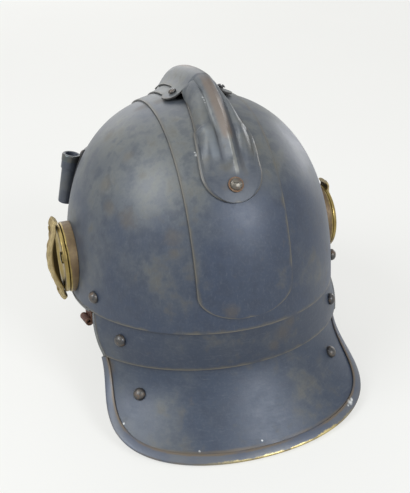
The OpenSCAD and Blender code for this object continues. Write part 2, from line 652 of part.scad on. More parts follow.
disc_seat = boss_ring_thickness - boss_recess + seat;
disc_radius = boss_radius - 2.2;
disc_rim_top = 3.7;
disc_bore = stud_radius + 0.08;
disc_floor = 1.4;
module boss_disc() {
    on_boss() translate([0, 0, disc_seat]) difference() {
        rotate_extrude() polygon([
            [disc_bore, 0], [disc_radius - 5, 0], [disc_radius - 2, 1.6],
            [disc_radius, 2.4], [disc_radius + 1.6, 2.6], [disc_radius + 1.6, disc_rim_top - 0.2],
            [disc_radius + 1.2, disc_rim_top], [disc_radius - 2, disc_rim_top],
            [disc_radius - 4, 2.7], [disc_radius - 6.5, disc_floor], [disc_bore, disc_floor]]);
        loop_ends() translate([0, 0, disc_rim_top - pin_depth])
            cylinder(r = loop_pin_radius + hole_clear, h = 8);
    }
}

// Stud with a round head, and a square nut inside the skull
stud_head = 4.4;
stud_head_height = 1.6;
nut_radius = 5.4;
nut_height = 3;
nut_seat = skull_wall + seat + boss_gap(nut_radius, 90);
module boss_stud() {
    shank = nut_seat + nut_height + 0.8;
    on_boss() union() {
        translate([0, 0, -shank])
            cylinder(r = stud_radius, h = shank + disc_seat + disc_floor + seat);
        translate([0, 0, disc_seat + disc_floor + seat])
            cylinder(r = stud_head, h = stud_head_height);
    }
}

module boss_nut() {
    on_boss() translate([0, 0, -nut_seat - nut_height]) difference() {
        cylinder(r = nut_radius, h = nut_height, $fn = 6);
        translate([0, 0, -1]) cylinder(r = stud_radius + 0.05, h = nut_height + 2, $fn = 48);
    }
}

// The leather loop arches over the boss from top to bottom, pinned at its two flat ends
loop_base = disc_seat + disc_rim_top + seat;
loop_half = disc_radius + 4.5;
loop_foot = 0.74;
// Share of its height that the loop keeps at its front edge, and how far its two ends droop
loop_front = 0.3;
loop_droop = 1.5;
loop_stops = [0, 0.025, 0.05, 0.13, 0.17, 0.22, 0.29, 0.38, 0.5, 0.62, 0.71, 0.78, 0.83, 0.87,
    0.95, 0.975, 1];
loop_pin_radius = 1.1;
loop_pin_head = 1.9;
loop_pin_at = disc_radius - 0.2;
pin_depth = 1.4;
function loop_profile(f, high) = let (s = abs(2 * f - 1))
    [loop_half * (2 * f - 1), loop_base + high * clamp(1 - pow(s / loop_foot, 2))
        - loop_droop * pow(clamp((s - 0.9) / 0.1), 1.5)];
function loop_row(f, v, lift, high) = let (
    lane_high = high * mix(1, loop_front, clamp(0.5 - v / loop_width)),
    d = unit(loop_profile(min(1, f + 0.01), lane_high)
        - loop_profile(max(0, f - 0.01), lane_high)),
    c = loop_profile(f, lane_high) + [-d.y, d.x] * lift)
    boss_foot + boss_dir * c.y + [-sin(boss_yaw), cos(boss_yaw), 0] * v + [0, 0, 1] * c.x;
loop_lanes = [1, 0.84, 0.4, -0.4, -0.84, -1];
module loop_sheet(high, thick) {
    sheet([for (f = loop_stops) [for (l = loop_lanes) loop_row(f, -l * loop_width / 2,
            thick * (abs(l) == 1 ? 0.75 : 1), high)]],
        [for (f = loop_stops) [for (l = loop_lanes) loop_row(f, -l * loop_width / 2,
            abs(l) == 1 ? thick * 0.25 : 0, high)]]);
}
module loop_ends() {
    for (s = [-1, 1]) translate([s * loop_pin_at, 0, 0]) children();
}
module loop_body(high, thick) {
    difference() {
        loop_sheet(high, thick);
        on_boss() loop_ends() translate([0, 0, disc_seat])
            cylinder(r = loop_pin_radius + hole_clear, h = 20);
    }
}
module loop_pins(thick) {
    low = disc_seat + disc_rim_top - pin_depth + 0.1;
    top = loop_base + thick + seat / 2;
    on_boss() loop_ends() union() {
        translate([0, 0, low]) cylinder(r = loop_pin_radius, h = top - low);
        translate([0, 0, top]) cylinder(r = loop_pin_head, h = 0.8);
    }
}

module skull() {
    color(steel) at_rest() difference() {
        skull_shell();
        crest_drills(crest_screw_radius + hole_clear);
        for (m = [0, 1]) mirror([m, 0, 0]) {
            drill(band_pivot, skull_normal(band_pivot), rivet_shank_radius + hole_clear);
            for (a = peak_rivet_angles) let (p = skull_point(a, peak_rivet_height))
                drill(p, skull_normal(p), rivet_shank_radius + hole_clear);
            on_boss() translate([0, 0, -6]) cylinder(r = ring_hole, h = 9);
        }
        for (p = bracket_rivet_points)
            drill(p, skull_normal(p), bracket_rivet_radius + hole_clear);
    }
}

module crown_strip() {
    color(steel) at_rest() difference() {
        strip_sheet();
        crest_drills(crest_screw_radius + hole_clear);
    }
}

module crest_comb() {
    color(steel) at_rest() difference() {
        comb_sheet();
        drill(nose_screw_at, nose_screw_dir, crest_screw_radius + hole_clear);
        ear_drills(crest_screw_radius + hole_clear);
    }
}

module crest_tail() {
    color(steel) at_rest() difference() {
        tail_sheet();
        drill(tail_screw_at, tail_screw_dir, crest_screw_radius + hole_clear);
        ear_drills(crest_screw_radius + hole_clear);
    }
}

tail_washer_wall = 0.8;
nut_wall = 2.4;
module tail_washer() {
    color(iron) at_rest() place(tail_screw_at, tail_screw_dir) translate([0, 0, seat])
        difference() {
            cylinder(r = 4.6, h = tail_washer_wall);
            translate([0, 0, -1]) cylinder(r = crest_screw_radius + hole_clear, h = 3);
        }
}

module tail_screw() {
    color(iron) at_rest() place(tail_screw_at, tail_screw_dir)
        translate([0, 0, seat + tail_washer_wall])
            rotate([0, 0, 80]) slotted_screw(seat + tail_washer_wall + comb_seat + crest_wall
                + skull_wall + seat + nut_wall + 1, 3.7, 2.4, crest_screw_radius);
}

module screw_nut(at, dir) {
    place(at, dir) translate([0, 0, -comb_seat - crest_wall - skull_wall - seat - 0.15 - nut_wall])
        difference() {
            cylinder(r = 3.6, h = nut_wall, $fn = 4);
            translate([0, 0, -1]) cylinder(r = crest_screw_radius + 0.05, h = 5, $fn = 48);
        }
}

module tail_nut() {
    color(iron) at_rest() {
        screw_nut(tail_screw_at, tail_screw_dir);
        screw_nut(nose_screw_at, nose_screw_dir);
    }
}

module nose_screw() {
    color(iron) at_rest() place(nose_screw_at, nose_screw_dir)
        translate([0, 0, comb_rise(nose_screw_angle) + seat])
            slotted_screw(comb_rise(nose_screw_angle) + seat + comb_seat + crest_wall
                + skull_wall + seat + nut_wall + 1, 3, 2, crest_screw_radius);
}

module ear_screw() {
    translate([0, 0, 2 * seat]) slotted_screw(3 * seat + 2 * crest_wall + 1.2, 2.7, 1.7,
        crest_screw_radius);
}

module ear_screws() {
    color(iron) at_rest() {
        place(ear_screw_at, ear_screw_dir) ear_screw();
        place(right_ear_screw_at, mirrored(ear_screw_dir)) ear_screw();
    }
}

module neck_band() {
    color(steel) at_rest() difference() {
        band_sheet();
        for (m = [0, 1]) mirror([m, 0, 0]) {
            drill(band_pivot, skull_normal(band_pivot), rivet_shank_radius + pivot_clear);
            drill(guard_pivot, guard_pivot_dir, rivet_shank_radius + hole_clear);
        }
    }
}

module neck_guard() {
    color(steel) at_rest() difference() {
        guard_sheet();
        for (m = [0, 1]) mirror([m, 0, 0]) {
            drill(guard_pivot, guard_pivot_dir, rivet_shank_radius + pivot_clear);
            drill(strap_rivet_at, strap_rivet_dir, rivet_shank_radius + hole_clear);
        }
    }
}

module guard_binding() {
    color(brass) at_rest() edge_strip(guard_sheet_at, guard_edge, guard_binding_end,
        guard_binding_steps, binding_width, lame_wall);
}

module peak() {
    color(steel) at_rest() difference() {
        peak_sheet();
        for (m = [0, 1]) mirror([m, 0, 0]) for (a = peak_rivet_angles)
            let (p = skull_point(a, peak_rivet_height))
            drill(p, skull_normal(p), rivet_shank_radius + hole_clear);
    }
}

module peak_binding() {
    color(brass) at_rest() edge_strip(peak_sheet_at, peak_edge, peak_binding_end,
        peak_binding_steps, binding_width, peak_wall);
}

// Grip of a rivet that holds two sheets with the running clearance between them
function grip(outer_wall, inner_wall, gap) = outer_wall + gap + inner_wall + 2 * seat;

module peak_rivets() {
    color(iron) at_rest() for (m = [0, 1]) mirror([m, 0, 0]) for (a = peak_rivet_angles)
        let (p = skull_point(a, peak_rivet_height))
        place(p, skull_normal(p)) translate([0, 0, seat / 2])
            rivet(grip(skull_wall, peak_wall, lame_clear));
}

module band_rivets() {
    color(iron) at_rest() for (m = [0, 1]) mirror([m, 0, 0])
        place(band_pivot, skull_normal(band_pivot)) translate([0, 0, seat / 2])
            rivet(grip(skull_wall, lame_wall, lame_clear) + 0.4);
}

module guard_rivets() {
    color(iron) at_rest() for (m = [0, 1]) mirror([m, 0, 0])
        place(guard_pivot, guard_pivot_dir) translate([0, 0, seat / 2])
            rivet(grip(lame_wall, lame_wall, lame_clear + guard_side_in) + 0.6);
}

strap_wall = 1.6;
module strap_rivets() {
    color(iron) at_rest() for (m = [0, 1]) mirror([m, 0, 0])
        place(strap_rivet_at, strap_rivet_dir) translate([0, 0, seat / 2])
            rivet(grip(lame_wall, strap_wall, seat));
}

// Leather washers under the burrs of the lowest rivets
module stop_straps() {
    color(brown) at_rest() for (m = [0, 1]) mirror([m, 0, 0])
        place(strap_rivet_at, strap_rivet_dir)
            translate([0, 0, -lame_wall - seat - strap_wall]) difference() {
                cylinder(r = 6.5, h = strap_wall);
                translate([0, 0, -1]) cylinder(r = rivet_shank_radius + hole_clear, h = 4);
            }
}

// Plume socket on the wearer's left
// Everything of the socket lies about one upright plane through the skull's middle
socket_reach = norm([skull_half_width * sin(socket_turn), skull_half_length * cos(socket_turn)]);
socket_way = atan2(skull_half_length * cos(socket_turn), skull_half_width * sin(socket_turn));
socket_out = socket_reach * dome_r((socket_foot_height - widest_line) / dome_rise)
    + socket_radius + 0.9;
function on_plane(out, z) = [out * cos(socket_way), out * sin(socket_way), z];
socket_foot = on_plane(socket_out, socket_foot_height);
socket_dir = on_plane(-sin(socket_lean), cos(socket_lean));
module in_socket() {
    rotate([0, 0, socket_way]) translate([socket_out, 0, socket_foot_height])
        rotate([0, -socket_lean, 0]) children();
}
collar_length = 5;
step_length = 11;

module plume_tube() {
    color(dark_steel) at_rest() in_socket() difference() {
        rotate_extrude() polygon([[0, 0], [socket_radius - 1.2, 0], [socket_radius - 0.5, 1.5],
            [socket_radius, socket_length - step_length], [socket_radius + 0.7, socket_length
                - step_length + 0.5], [socket_radius + 0.7, socket_length - collar_length],
            [socket_radius - 0.4, socket_length - collar_length],
            [socket_radius - 0.4, socket_length], [0, socket_length]]);
        translate([0, 0, 2]) cylinder(r = socket_bore_radius, h = socket_length);
    }
}

module plume_collar() {
    color([0.38, 0.44, 0.43]) at_rest() in_socket() translate([0, 0, socket_length
        - collar_length + 0.05]) rotate_extrude() polygon([
            [socket_radius - 0.3, 0], [socket_radius + 0.9, 0],
            [socket_radius + 0.9, collar_length - 0.8], [socket_radius + 0.3, collar_length],
            [socket_radius - 0.3, collar_length]]);
}

// Bracket: a curved pad on the skull and a web that cradles the tube
bracket_wall = 1.2;
bracket_half = 7;
bracket_low = socket_foot_height - 2;
bracket_high = socket_foot_height + socket_length - 7;
bracket_rivet_radius = 1.5;
function bracket_at(v, z, off) = let (a = socket_turn - asin(v / socket_reach),
    r = dome_r((z - widest_line) / (dome_rise + off)))
    [(skull_half_width + off) * r * sin(a), (skull_half_length + off) * r * cos(a), z];
bracket_rivet_points = [bracket_at(0, bracket_low - 3, 0),
    bracket_at(0, bracket_high + 5, 0)];

module plume_bracket() {
    zs = [for (i = [0:8]) mix(bracket_low - 7, bracket_high + 10, i / 8)];
    ys = [-1, -0.4, 0.4, 1];
    color(dark_steel) at_rest() difference() {
        union() {
            sheet([for (z = zs) [for (v = ys) bracket_at(v * bracket_half, z,
                    seat + bracket_wall)]],
                [for (z = zs) [for (v = ys) bracket_at(v * bracket_half, z, seat)]]);
            rotate([0, 0, socket_way]) translate([0, 2, 0]) rotate([90, 0, 0]) linear_extrude(4)
                polygon(concat([for (i = [0:6]) let (z = mix(bracket_low + 3.5, bracket_high, i / 6),
                        p = bracket_at(0, z, seat + bracket_wall / 2)) [norm([p.x, p.y]), z]],
                    [for (i = [6:-1:0]) let (z = mix(bracket_low + 4.5, bracket_high, i / 6))
                        [socket_out - (z - socket_foot_height) * tan(socket_lean) - 1, z]]));
        }
        in_socket() {
            translate([0, 0, -3]) cylinder(r = socket_radius + seat, h = socket_length);
            translate([0, 0, socket_length - step_length - 0.5])
                cylinder(r = socket_radius + 1.2, h = step_length + 6);
        }
        for (p = bracket_rivet_points) drill(p, skull_normal(p), bracket_rivet_radius + hole_clear);
    }
}

module bracket_rivets() {
    color(iron) at_rest() for (p = bracket_rivet_points) place(p, skull_normal(p))
        translate([0, 0, seat + bracket_wall + 0.25])
            rivet(skull_wall + bracket_wall + 4 * seat, 2.6, 1.6, bracket_rivet_radius);
}

module boss_ring_left() { color(brass) at_rest() boss_ring_body(); }
module boss_ring_right() { color(brass) at_rest() mirror([1, 0, 0]) boss_ring_body(); }
module boss_disc_left() { color(brass) at_rest() boss_disc(); }
module boss_disc_right() { color(brass) at_rest() mirror([1, 0, 0]) boss_disc(); }
module boss_stud_left() { color(brass) at_rest() boss_stud(); }
module boss_stud_right() { color(brass) at_rest() mirror([1, 0, 0]) boss_stud(); }
module boss_nuts() {
    color(iron) at_rest() {
        boss_nut();
        mirror([1, 0, 0]) boss_nut();
    }
}
module loop_left() { color(buff) at_rest() loop_body(loop_height, loop_thickness); }
module loop_right() {
    color(buff) at_rest() mirror([1, 0, 0]) loop_body(flat_loop_height, flat_loop_thickness);
}
module loop_pins_left() { color(brass) at_rest() loop_pins(loop_thickness); }
module loop_pins_right() {
    color(brass) at_rest() mirror([1, 0, 0]) loop_pins(flat_loop_thickness);
}

// Liner: pads carry a leather sweatband, whose tongues are drawn together at the crown
band_out = -skull_wall - liner_space;
band_bottom = 2;
pad_angles = [0, 105, 180, 255];
pad_half = 7.5;
pad_low = 12;
pad_high = band_bottom + sweatband_height - 2;
module liner_pads() {
    color(felt) at_rest() for (c = pad_angles)
        sheet([for (i = [0:3]) [for (j = [0:4])
                skull_point(c - pad_half * (j / 2 - 1), mix(pad_low, pad_high, i / 3),
                    -skull_wall - seat - 0.1)]],
            [for (i = [0:3]) [for (j = [0:4])
                skull_point(c - pad_half * (j / 2 - 1), mix(pad_low, pad_high, i / 3),
                    band_out + seat)]]);
}

sweat_cols = 36;
module sweatband() {
    rows = [for (i = [0:3]) band_bottom + i * sweatband_height / 3];
    color(brown) at_rest() sheet(
        [for (z = rows) [for (j = [0:sweat_cols - 1])
            skull_point(-j * 360 / sweat_cols, z, band_out)]],
        [for (z = rows) [for (j = [0:sweat_cols - 1])
            skull_point(-j * 360 / sweat_cols, z, band_out - leather_thickness)]], wrap = true);
}

// One tongue rises from inside the sweatband to the ring of the lace
lace_ring_radius = 24;
lace_height = crown_z - 30;
tongue_stops = [0, 0.2, 0.4, 0.6, 0.8, 0.93, 1];
function tongue_line(f, a, off) = let (z0 = band_bottom + sweatband_height * 0.45,
    p = skull_point(a, z0, band_out - leather_thickness - seat - off),
    r0 = norm([p.x, p.y]), w = 90 * f,
    q = [mix(lace_ring_radius - 3, r0, cos(w)), mix(z0, lace_height, sin(w))])
    [q.x * p.x / r0, q.x * p.y / r0, q.y - off * sin(w)];
function tongue_half(f) = mix(360 / tongue_count * 0.44, 360 / tongue_count * 0.26, f);

module liner_crown() {
    color(brown) at_rest() for (k = [0:tongue_count - 1])
        let (c = (k + 0.5) * 360 / tongue_count)
        sheet([for (f = tongue_stops)
                [for (j = [-2:2]) tongue_line(f, c - j / 2 * tongue_half(f), 0)]],
            [for (f = tongue_stops)
                [for (j = [-2:2]) tongue_line(f, c - j / 2 * tongue_half(f), leather_thickness)]]);
}

module lace_torus(r) {
    translate([0, 0, lace_height - leather_thickness - seat - 0.15 - r]) rotate_extrude($fn = 64)
        translate([lace_ring_radius, 0]) circle(r = r, $fn = 24);
}

module liner_lace() {
    color([0.3, 0.24, 0.2]) at_rest() lace_torus(lace_radius);
}

// A rolled leather tab hangs from the sweatband below each ear
tab_angle = 80;
module ear_tabs() {
    color(brown) at_rest() for (m = [0, 1]) mirror([m, 0, 0])
        let (p = skull_point(tab_angle, 0, band_out + seat + 1.2))
        translate([p.x, p.y, 0]) rotate([0, 0, 90 - tab_angle]) {
            translate([-1, -6, -14]) cube([2, 12, 26]);
            translate([1.4, -6, -15]) rotate([-90, 0, 0]) cylinder(r = 3.4, h = 12);
        }
}

skull();
crown_strip();
crest_comb();
crest_tail();
tail_screw();
tail_washer();
tail_nut();
ear_screws();
nose_screw();
neck_band();
neck_guard();
guard_binding();
peak();
peak_binding();
peak_rivets();
band_rivets();
guard_rivets();
strap_rivets();
stop_straps();
plume_tube();
plume_collar();
plume_bracket();
bracket_rivets();
boss_ring_left();
boss_ring_right();
boss_disc_left();
boss_disc_right();
boss_stud_left();
boss_stud_right();
boss_nuts();
loop_left();
loop_right();
loop_pins_left();
loop_pins_right();
liner_pads();
sweatband();
liner_crown();
liner_lace();
ear_tabs();
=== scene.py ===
# %% [markdown]
# # A cavalry helmet, dressed for its picture
#
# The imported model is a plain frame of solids: every plate, rivet and strap has its true place, but
# its curves are cut into facets and it has no finish. This script keeps that frame and lays finer
# surfaces over it. Most of them come from the same formulas as the solids, worked out on dense
# grids, so that the two always agree.

import bmesh
import bpy
import numpy as np
from mathutils import Matrix


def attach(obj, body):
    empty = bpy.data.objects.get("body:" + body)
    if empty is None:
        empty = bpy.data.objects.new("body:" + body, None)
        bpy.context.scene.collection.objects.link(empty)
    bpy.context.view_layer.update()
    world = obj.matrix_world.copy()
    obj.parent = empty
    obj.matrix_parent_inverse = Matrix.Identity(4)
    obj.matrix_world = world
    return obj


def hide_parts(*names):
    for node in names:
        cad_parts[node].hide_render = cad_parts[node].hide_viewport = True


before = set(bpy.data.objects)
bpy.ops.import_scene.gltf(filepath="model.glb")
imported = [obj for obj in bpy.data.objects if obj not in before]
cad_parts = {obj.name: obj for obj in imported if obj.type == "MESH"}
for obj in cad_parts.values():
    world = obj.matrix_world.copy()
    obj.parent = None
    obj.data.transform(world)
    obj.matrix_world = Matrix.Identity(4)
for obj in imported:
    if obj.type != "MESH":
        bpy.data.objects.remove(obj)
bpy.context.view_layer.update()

# %% [markdown]
# ## Two places for one helmet
#
# A helmet is drawn most easily the way it is worn: z = 0 at the bowl's lower edge, the rear towards
# +Y and the wearer's left towards +X, in millimetres. On a table it leans forward onto the rims of
# its neck guard and its peak. All shapes below are worked out as worn, and `stand` leans them.

# %% Sizes of the bowl, as worn, in millimetres
bowl_half_width = 92.0
bowl_half_length = 104.0
dome_rise = 122.5
dome_power = 2.4
widest_line = 3.5
bowl_wall = 1.2
seat = 0.3


def mix(a, b, f):
    """a where f is 0, b where f is 1."""
    return a * (1 - f) + b * f


def clamp(f):
    """f kept between 0 and 1."""
    return np.clip(f, 0, 1)


def ease(f):
    """A smooth step from 0 to 1: 3 f^2 - 2 f^3."""
    f = clamp(f)
    return f * f * (3 - 2 * f)


def signed_power(v, e):
    """|v| to the power e, with the sign of v."""
    return np.sign(v) * np.abs(v) ** e


def points(x, y, z):
    """Puts three arrays together as an array of points."""
    return np.stack(np.broadcast_arrays(x, y, z), axis=-1).astype(float)


def unit(v):
    """v at length 1."""
    return v / np.linalg.norm(v, axis=-1, keepdims=True)


# %% [markdown]
# ## The bowl's shape
#
# A beaten skull is rounder than a cone and squarer than a ball. One formula holds it: the radius is
# (1 - h^p)^(1/p) of the full one at the share h of the height. With p = 2 that is an ellipsoid, and
# a little more than 2 fills out the shoulders, as the hammer does.

# %% The dome and other curved sheets
def dome_share(h):
    """Radius at the share h of the dome's height: (1 - h^p)^(1/p)."""
    return clamp(1 - clamp(h) ** dome_power) ** (1 / dome_power)


def bowl_at(a, z, off=0.0):
    """Point on the bowl at a degrees round from the rear and height z, a distance off outside."""
    r = dome_share((z - widest_line) / (dome_rise + off))
    a = np.radians(a)
    return points((bowl_half_width + off) * r * np.sin(a), (bowl_half_length + off) * r * np.cos(a), z)


def bowl_normal(p):
    """Direction square to the bowl at a point p of it: the slope of the formula that holds it."""
    h = np.maximum(0, p[..., 2] - widest_line) / dome_rise
    r = np.hypot(p[..., 0] / bowl_half_width, p[..., 1] / bowl_half_length)
    k = np.maximum(r, 0.001) ** (dome_power - 2)
    return unit(points(k * p[..., 0] / bowl_half_width**2, k * p[..., 1] / bowl_half_length**2,
                       h ** (dome_power - 1) / dome_rise))


def sheet_normal(f, a, z):
    """Direction square to a sheet f(a, z): the cross product of its two slopes."""
    return unit(np.cross(f(a - 0.5, z) - f(a + 0.5, z), f(a, z + 0.5) - f(a, z - 0.5)))


def moved(f, a, z, off):
    """Point of the sheet f(a, z) moved along its normal by off."""
    return f(a, z) + sheet_normal(f, a, z) * np.asarray(off)[..., None]


def edge_point(f, edge, s, inward, off):
    """Point a distance inward from the edge line edge(s) of a sheet f, and off along the normal."""
    ca, cz = edge(s)
    ea, ez = edge(s + 0.5)
    sa, sz = edge(s - 0.5)
    fa = f(ca + 0.5, cz) - f(ca - 0.5, cz)
    fz = f(ca, cz + 0.5) - f(ca, cz - 0.5)
    along = unit(fa * (ea - sa)[..., None] + fz * (ez - sz)[..., None])
    b = np.cross(along, sheet_normal(f, ca, cz))
    aa, zz, az = (fa * fa).sum(-1), (fz * fz).sum(-1), (fa * fz).sum(-1)
    g = aa * zz - az**2
    u = ((b * fa).sum(-1) * zz - (b * fz).sum(-1) * az) / g
    v = ((b * fz).sum(-1) * aa - (b * fa).sum(-1) * az) / g
    return moved(f, ca + u * inward, cz + v * inward, off)


# %% [markdown]
# ## The neck guard and the peak
#
# The neck guard is two lames that lap like a lobster's tail. The upper one falls almost straight
# from the bowl; the lower one starts inside it and flares out to throw rain and blows off the neck.
# The peak is a third sheet, riveted inside the brow. Each is a function of the angle round the head
# and the height, like the bowl itself, so laps and gaps come out even all the way round.

# %% Lames and peak as sheets
band_depth, band_spread, band_draw_in = 26.3, 6.6, 2.7
guard_depth, guard_flare, guard_side_flare, guard_side_in = 49.2, 28.0, 62.0, 1.4
guard_half_angle, guard_power = 59.0, 2.2
lame_wall, lame_clear, lame_lap = 1.0, 0.6, 9.0
peak_drop, peak_reach, peak_half_angle, peak_power = 42.0, 45.0, 64.0, 2.3
peak_wall, peak_lap = 1.2, 9.0
binding_width, binding_wall = 5.5, 0.8
spread_start = 2.0
sheet_in = -bowl_wall - lame_clear


def band_sheet(a, z):
    """Upper lame: the bowl's inside carried down, spread a little at the sides."""
    share = np.maximum(0, -z - spread_start) / (band_depth - spread_start)
    r = dome_share((z - widest_line) / (dome_rise + sheet_in))
    w = band_spread * np.sin(np.pi / 2 * np.minimum(1, share)) ** 0.9
    a = np.radians(a)
    return points((bowl_half_width + sheet_in + w) * r * np.sin(a),
                  (bowl_half_length + sheet_in - band_draw_in * share) * r * np.cos(a), z)


def guard_sheet(a, z):
    """Lower lame: it starts inside the upper one and flares as a power of the depth below it."""
    t = np.maximum(0, -z - band_depth) / 50
    p = moved(band_sheet, a, np.maximum(z, -band_depth), -(lame_wall + lame_clear))
    a = np.radians(a)
    return p + points((guard_side_flare * t**2.3 - guard_side_in) * np.sin(a),
                      guard_flare * t**1.39 * np.cos(a), np.minimum(0, z + band_depth))


def peak_sheet(a, z):
    """Peak: the brow carried down and reaching out in front."""
    t = np.maximum(0, -z) / peak_drop
    r = dome_share((z - widest_line) / (dome_rise + sheet_in))
    a = np.radians(a)
    return points((bowl_half_width + sheet_in + peak_reach * 0.35 * t**1.6) * r * np.sin(a),
                  (bowl_half_length + sheet_in + peak_reach * t**1.15) * r * np.cos(a), z)


def shoulders(depth_share):
    """The lower lame widens a little towards its upper corners."""
    return 1 + 0.042 * (1 - depth_share) ** 3


def guard_edge(s):
    """Outline of the lower lame, from s = 0 at the rear to 90 at its upper ends."""
    s = np.radians(s)
    share = np.maximum(1e-4, np.cos(s)) ** (2 / guard_power)
    angle = guard_half_angle * shoulders(share) * signed_power(np.sin(s), 2 / guard_power)
    return angle, -band_depth - guard_depth * share


def peak_edge(s):
    """Outline of the peak, from s = 0 at the tip to 90 at its upper ends."""
    s = np.radians(s)
    depth = peak_drop * np.maximum(1e-4, np.cos(s)) ** (2 / peak_power)
    return 180 + peak_half_angle * signed_power(np.sin(s), 2 / peak_power), -depth


# %% Stand the helmet on its two rims
tip = np.zeros(1)
guard_rim = edge_point(guard_sheet, guard_edge, tip, -seat, -lame_wall - seat - binding_wall)[0]
peak_rim = edge_point(peak_sheet, peak_edge, tip, -seat, -peak_wall - seat - binding_wall)[0]
lean = np.arctan2(peak_rim[2] - guard_rim[2], guard_rim[1] - peak_rim[1])
lean_turn = np.array([[1, 0, 0], [0, np.cos(lean), -np.sin(lean)], [0, np.sin(lean), np.cos(lean)]])
low_points = np.array([guard_rim, peak_rim]) @ lean_turn.T
loop_height, loop_thickness, flat_loop_height = 4.9, 3.7, 1.0
flat_loop_thickness = 0.6 * loop_thickness
loop_reach, flat_loop_reach = loop_height + loop_thickness, flat_loop_height + flat_loop_thickness
side_shift = (flat_loop_reach - loop_reach) / 2
stand_shift = np.array([side_shift, -low_points[:, 1].mean(), -low_points[:, 2].min()])


def stand(p):
    """Points as worn, in millimetres, to points on the table, in metres."""
    return (np.asarray(p, float) @ lean_turn.T + stand_shift) / 1000


print("leans %.2f degrees, lifted %.1f mm" % (np.degrees(lean), stand_shift[2]))

# %% [markdown]
# ## The camera
#
# The photograph looks at the helmet from behind, a little from its wearer's left and above, held
# slightly tilted. The camera was placed by matching the bowl's outline and the six rivets, so its
# place is known as worn and is leaned with the helmet.

# %% Camera at the photograph's angle
picture_width = 410
camera_azimuth, camera_elevation, camera_roll = 163.47, 20.96, -3.47
camera_place = np.array([129.4, 455.0, 197.5])
focal_pixels = 703.66
sensor_width = 36.0


def camera_axes():
    """Right, up and back directions of the camera, as worn."""
    a, e, roll = np.radians([camera_azimuth, camera_elevation, camera_roll])
    back = np.array([np.sin(a) * np.cos(e), -np.cos(a) * np.cos(e), np.sin(e)])
    right = np.array([np.cos(a), np.sin(a), 0.0])
    up = np.cross(back, right)
    return (right * np.cos(roll) + up * np.sin(roll), up * np.cos(roll) - right * np.sin(roll), back)


def aim(thing, turn, place):
    """Puts a camera or lamp at a place, turned by a matrix of its right, up and back directions."""
    matrix = np.eye(4)
    matrix[:3, :3], matrix[:3, 3] = turn, place
    thing.matrix_world = Matrix(matrix.tolist())


camera_data = bpy.data.cameras.new("picture_camera")
camera_data.sensor_fit = "HORIZONTAL"
camera_data.sensor_width = sensor_width
camera_data.lens = focal_pixels / picture_width * sensor_width
camera_data.clip_start = 0.01
camera = bpy.data.objects.new("picture_camera", camera_data)
bpy.context.scene.collection.objects.link(camera)
camera_turn = np.column_stack([lean_turn @ v for v in camera_axes()])
aim(camera, camera_turn, stand(camera_place))
bpy.context.scene.camera = camera
print("lens %.1f mm at" % camera_data.lens, np.round(stand(camera_place), 3))

# %% [markdown]
# ## From grids of points to pieces
#
# Every plate has an outer and an inner surface, each a grid of points. One function closes the two
# along their rims. It also gives each corner a UV place: how far it lies from the plate's edge, and
# how far along, both in metres. Wear on old paint follows edges, so the finishes read that place.

# %% Build one closed sheet
made_pieces = {}


def new_piece(name, verts, faces, uvs, body, slot, smooth_angle=40):
    """Makes a mesh object of points as worn, with doubles merged and its flat edges kept sharp."""
    mesh = bpy.data.meshes.new(name + "_fine")
    mesh.from_pydata(stand(verts).tolist(), [], faces.tolist() if hasattr(faces, "tolist") else faces)
    layer = mesh.uv_layers.new(name="edge")
    corner = np.empty(len(mesh.loops), np.int32)
    mesh.loops.foreach_get("vertex_index", corner)
    layer.data.foreach_set("uv", (uvs[corner] / 1000).astype(np.float32).ravel())
    work = bmesh.new()
    work.from_mesh(mesh)
    bmesh.ops.remove_doubles(work, verts=work.verts, dist=2e-6)
    bmesh.ops.dissolve_degenerate(work, edges=work.edges, dist=1e-7)
    for edge in work.edges:
        turn = edge.calc_face_angle(0)
        edge.smooth = turn < np.radians(smooth_angle)
    for face in work.faces:
        face.smooth = True
    work.to_mesh(mesh)
    work.free()
    piece = made_pieces[name] = bpy.data.objects.new(name + "_fine", mesh)
    bpy.context.scene.collection.objects.link(piece)
    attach(piece, body)
    print("%-16s %6d faces on %s" % (name, len(mesh.polygons), body))
    return piece


def dressed(name, mesh, body, slot, smooth_angle=40, node=None):
    """A piece that is shown in place of the solid of its own name, or of another node."""
    piece = new_piece(name, *mesh, body, slot, smooth_angle)
    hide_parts(node or name)
    return piece


def grid_faces(rows, cols, start, wrap, flip):
    """Quads of a grid whose points start at an index, turned over if flip."""
    last = cols if wrap else cols - 1
    i, j = np.meshgrid(np.arange(rows - 1), np.arange(last), indexing="ij")
    k = (j + 1) % cols
    quads = np.stack([i * cols + j, (i + 1) * cols + j, (i + 1) * cols + k, i * cols + k], -1)
    quads = quads.reshape(-1, 4) + start
    return quads[:, ::-1] if flip else quads


def wall_faces(rows, cols, wrap, capped):
    """Quads that join the rims of an outer grid and of the inner grid that follows it."""
    n = rows * cols
    j = np.arange(cols if wrap else cols - 1)
    k = (j + 1) % cols
    b = (rows - 1) * cols
    parts = [np.stack([j, k, n + k, n + j], -1)]
    if not capped:
        parts.append(np.stack([b + k, b + j, n + b + j, n + b + k], -1))
    if not wrap:
        a = np.arange(rows - 1) * cols
        c = a + cols - 1
        parts.append(np.stack([a, n + a, n + a + cols, a + cols], -1))
        parts.append(np.stack([c, c + cols, n + c + cols, n + c], -1))
    return np.concatenate(parts)


def rim_places(outer, wrap, capped):
    """For each point of a grid, how far it lies from the nearest rim and how far along, in mm."""
    up = np.linalg.norm(np.diff(outer, axis=0, prepend=outer[:1]), axis=-1).cumsum(0)
    along = np.linalg.norm(np.diff(outer, axis=1, prepend=outer[:, :1]), axis=-1).cumsum(1)
    far = up if capped else np.minimum(up, up[-1:] - up)
    if not wrap:
        far = np.minimum(far, np.minimum(along, along[:, -1:] - along))
    return np.stack([far, along], -1).reshape(-1, 2)


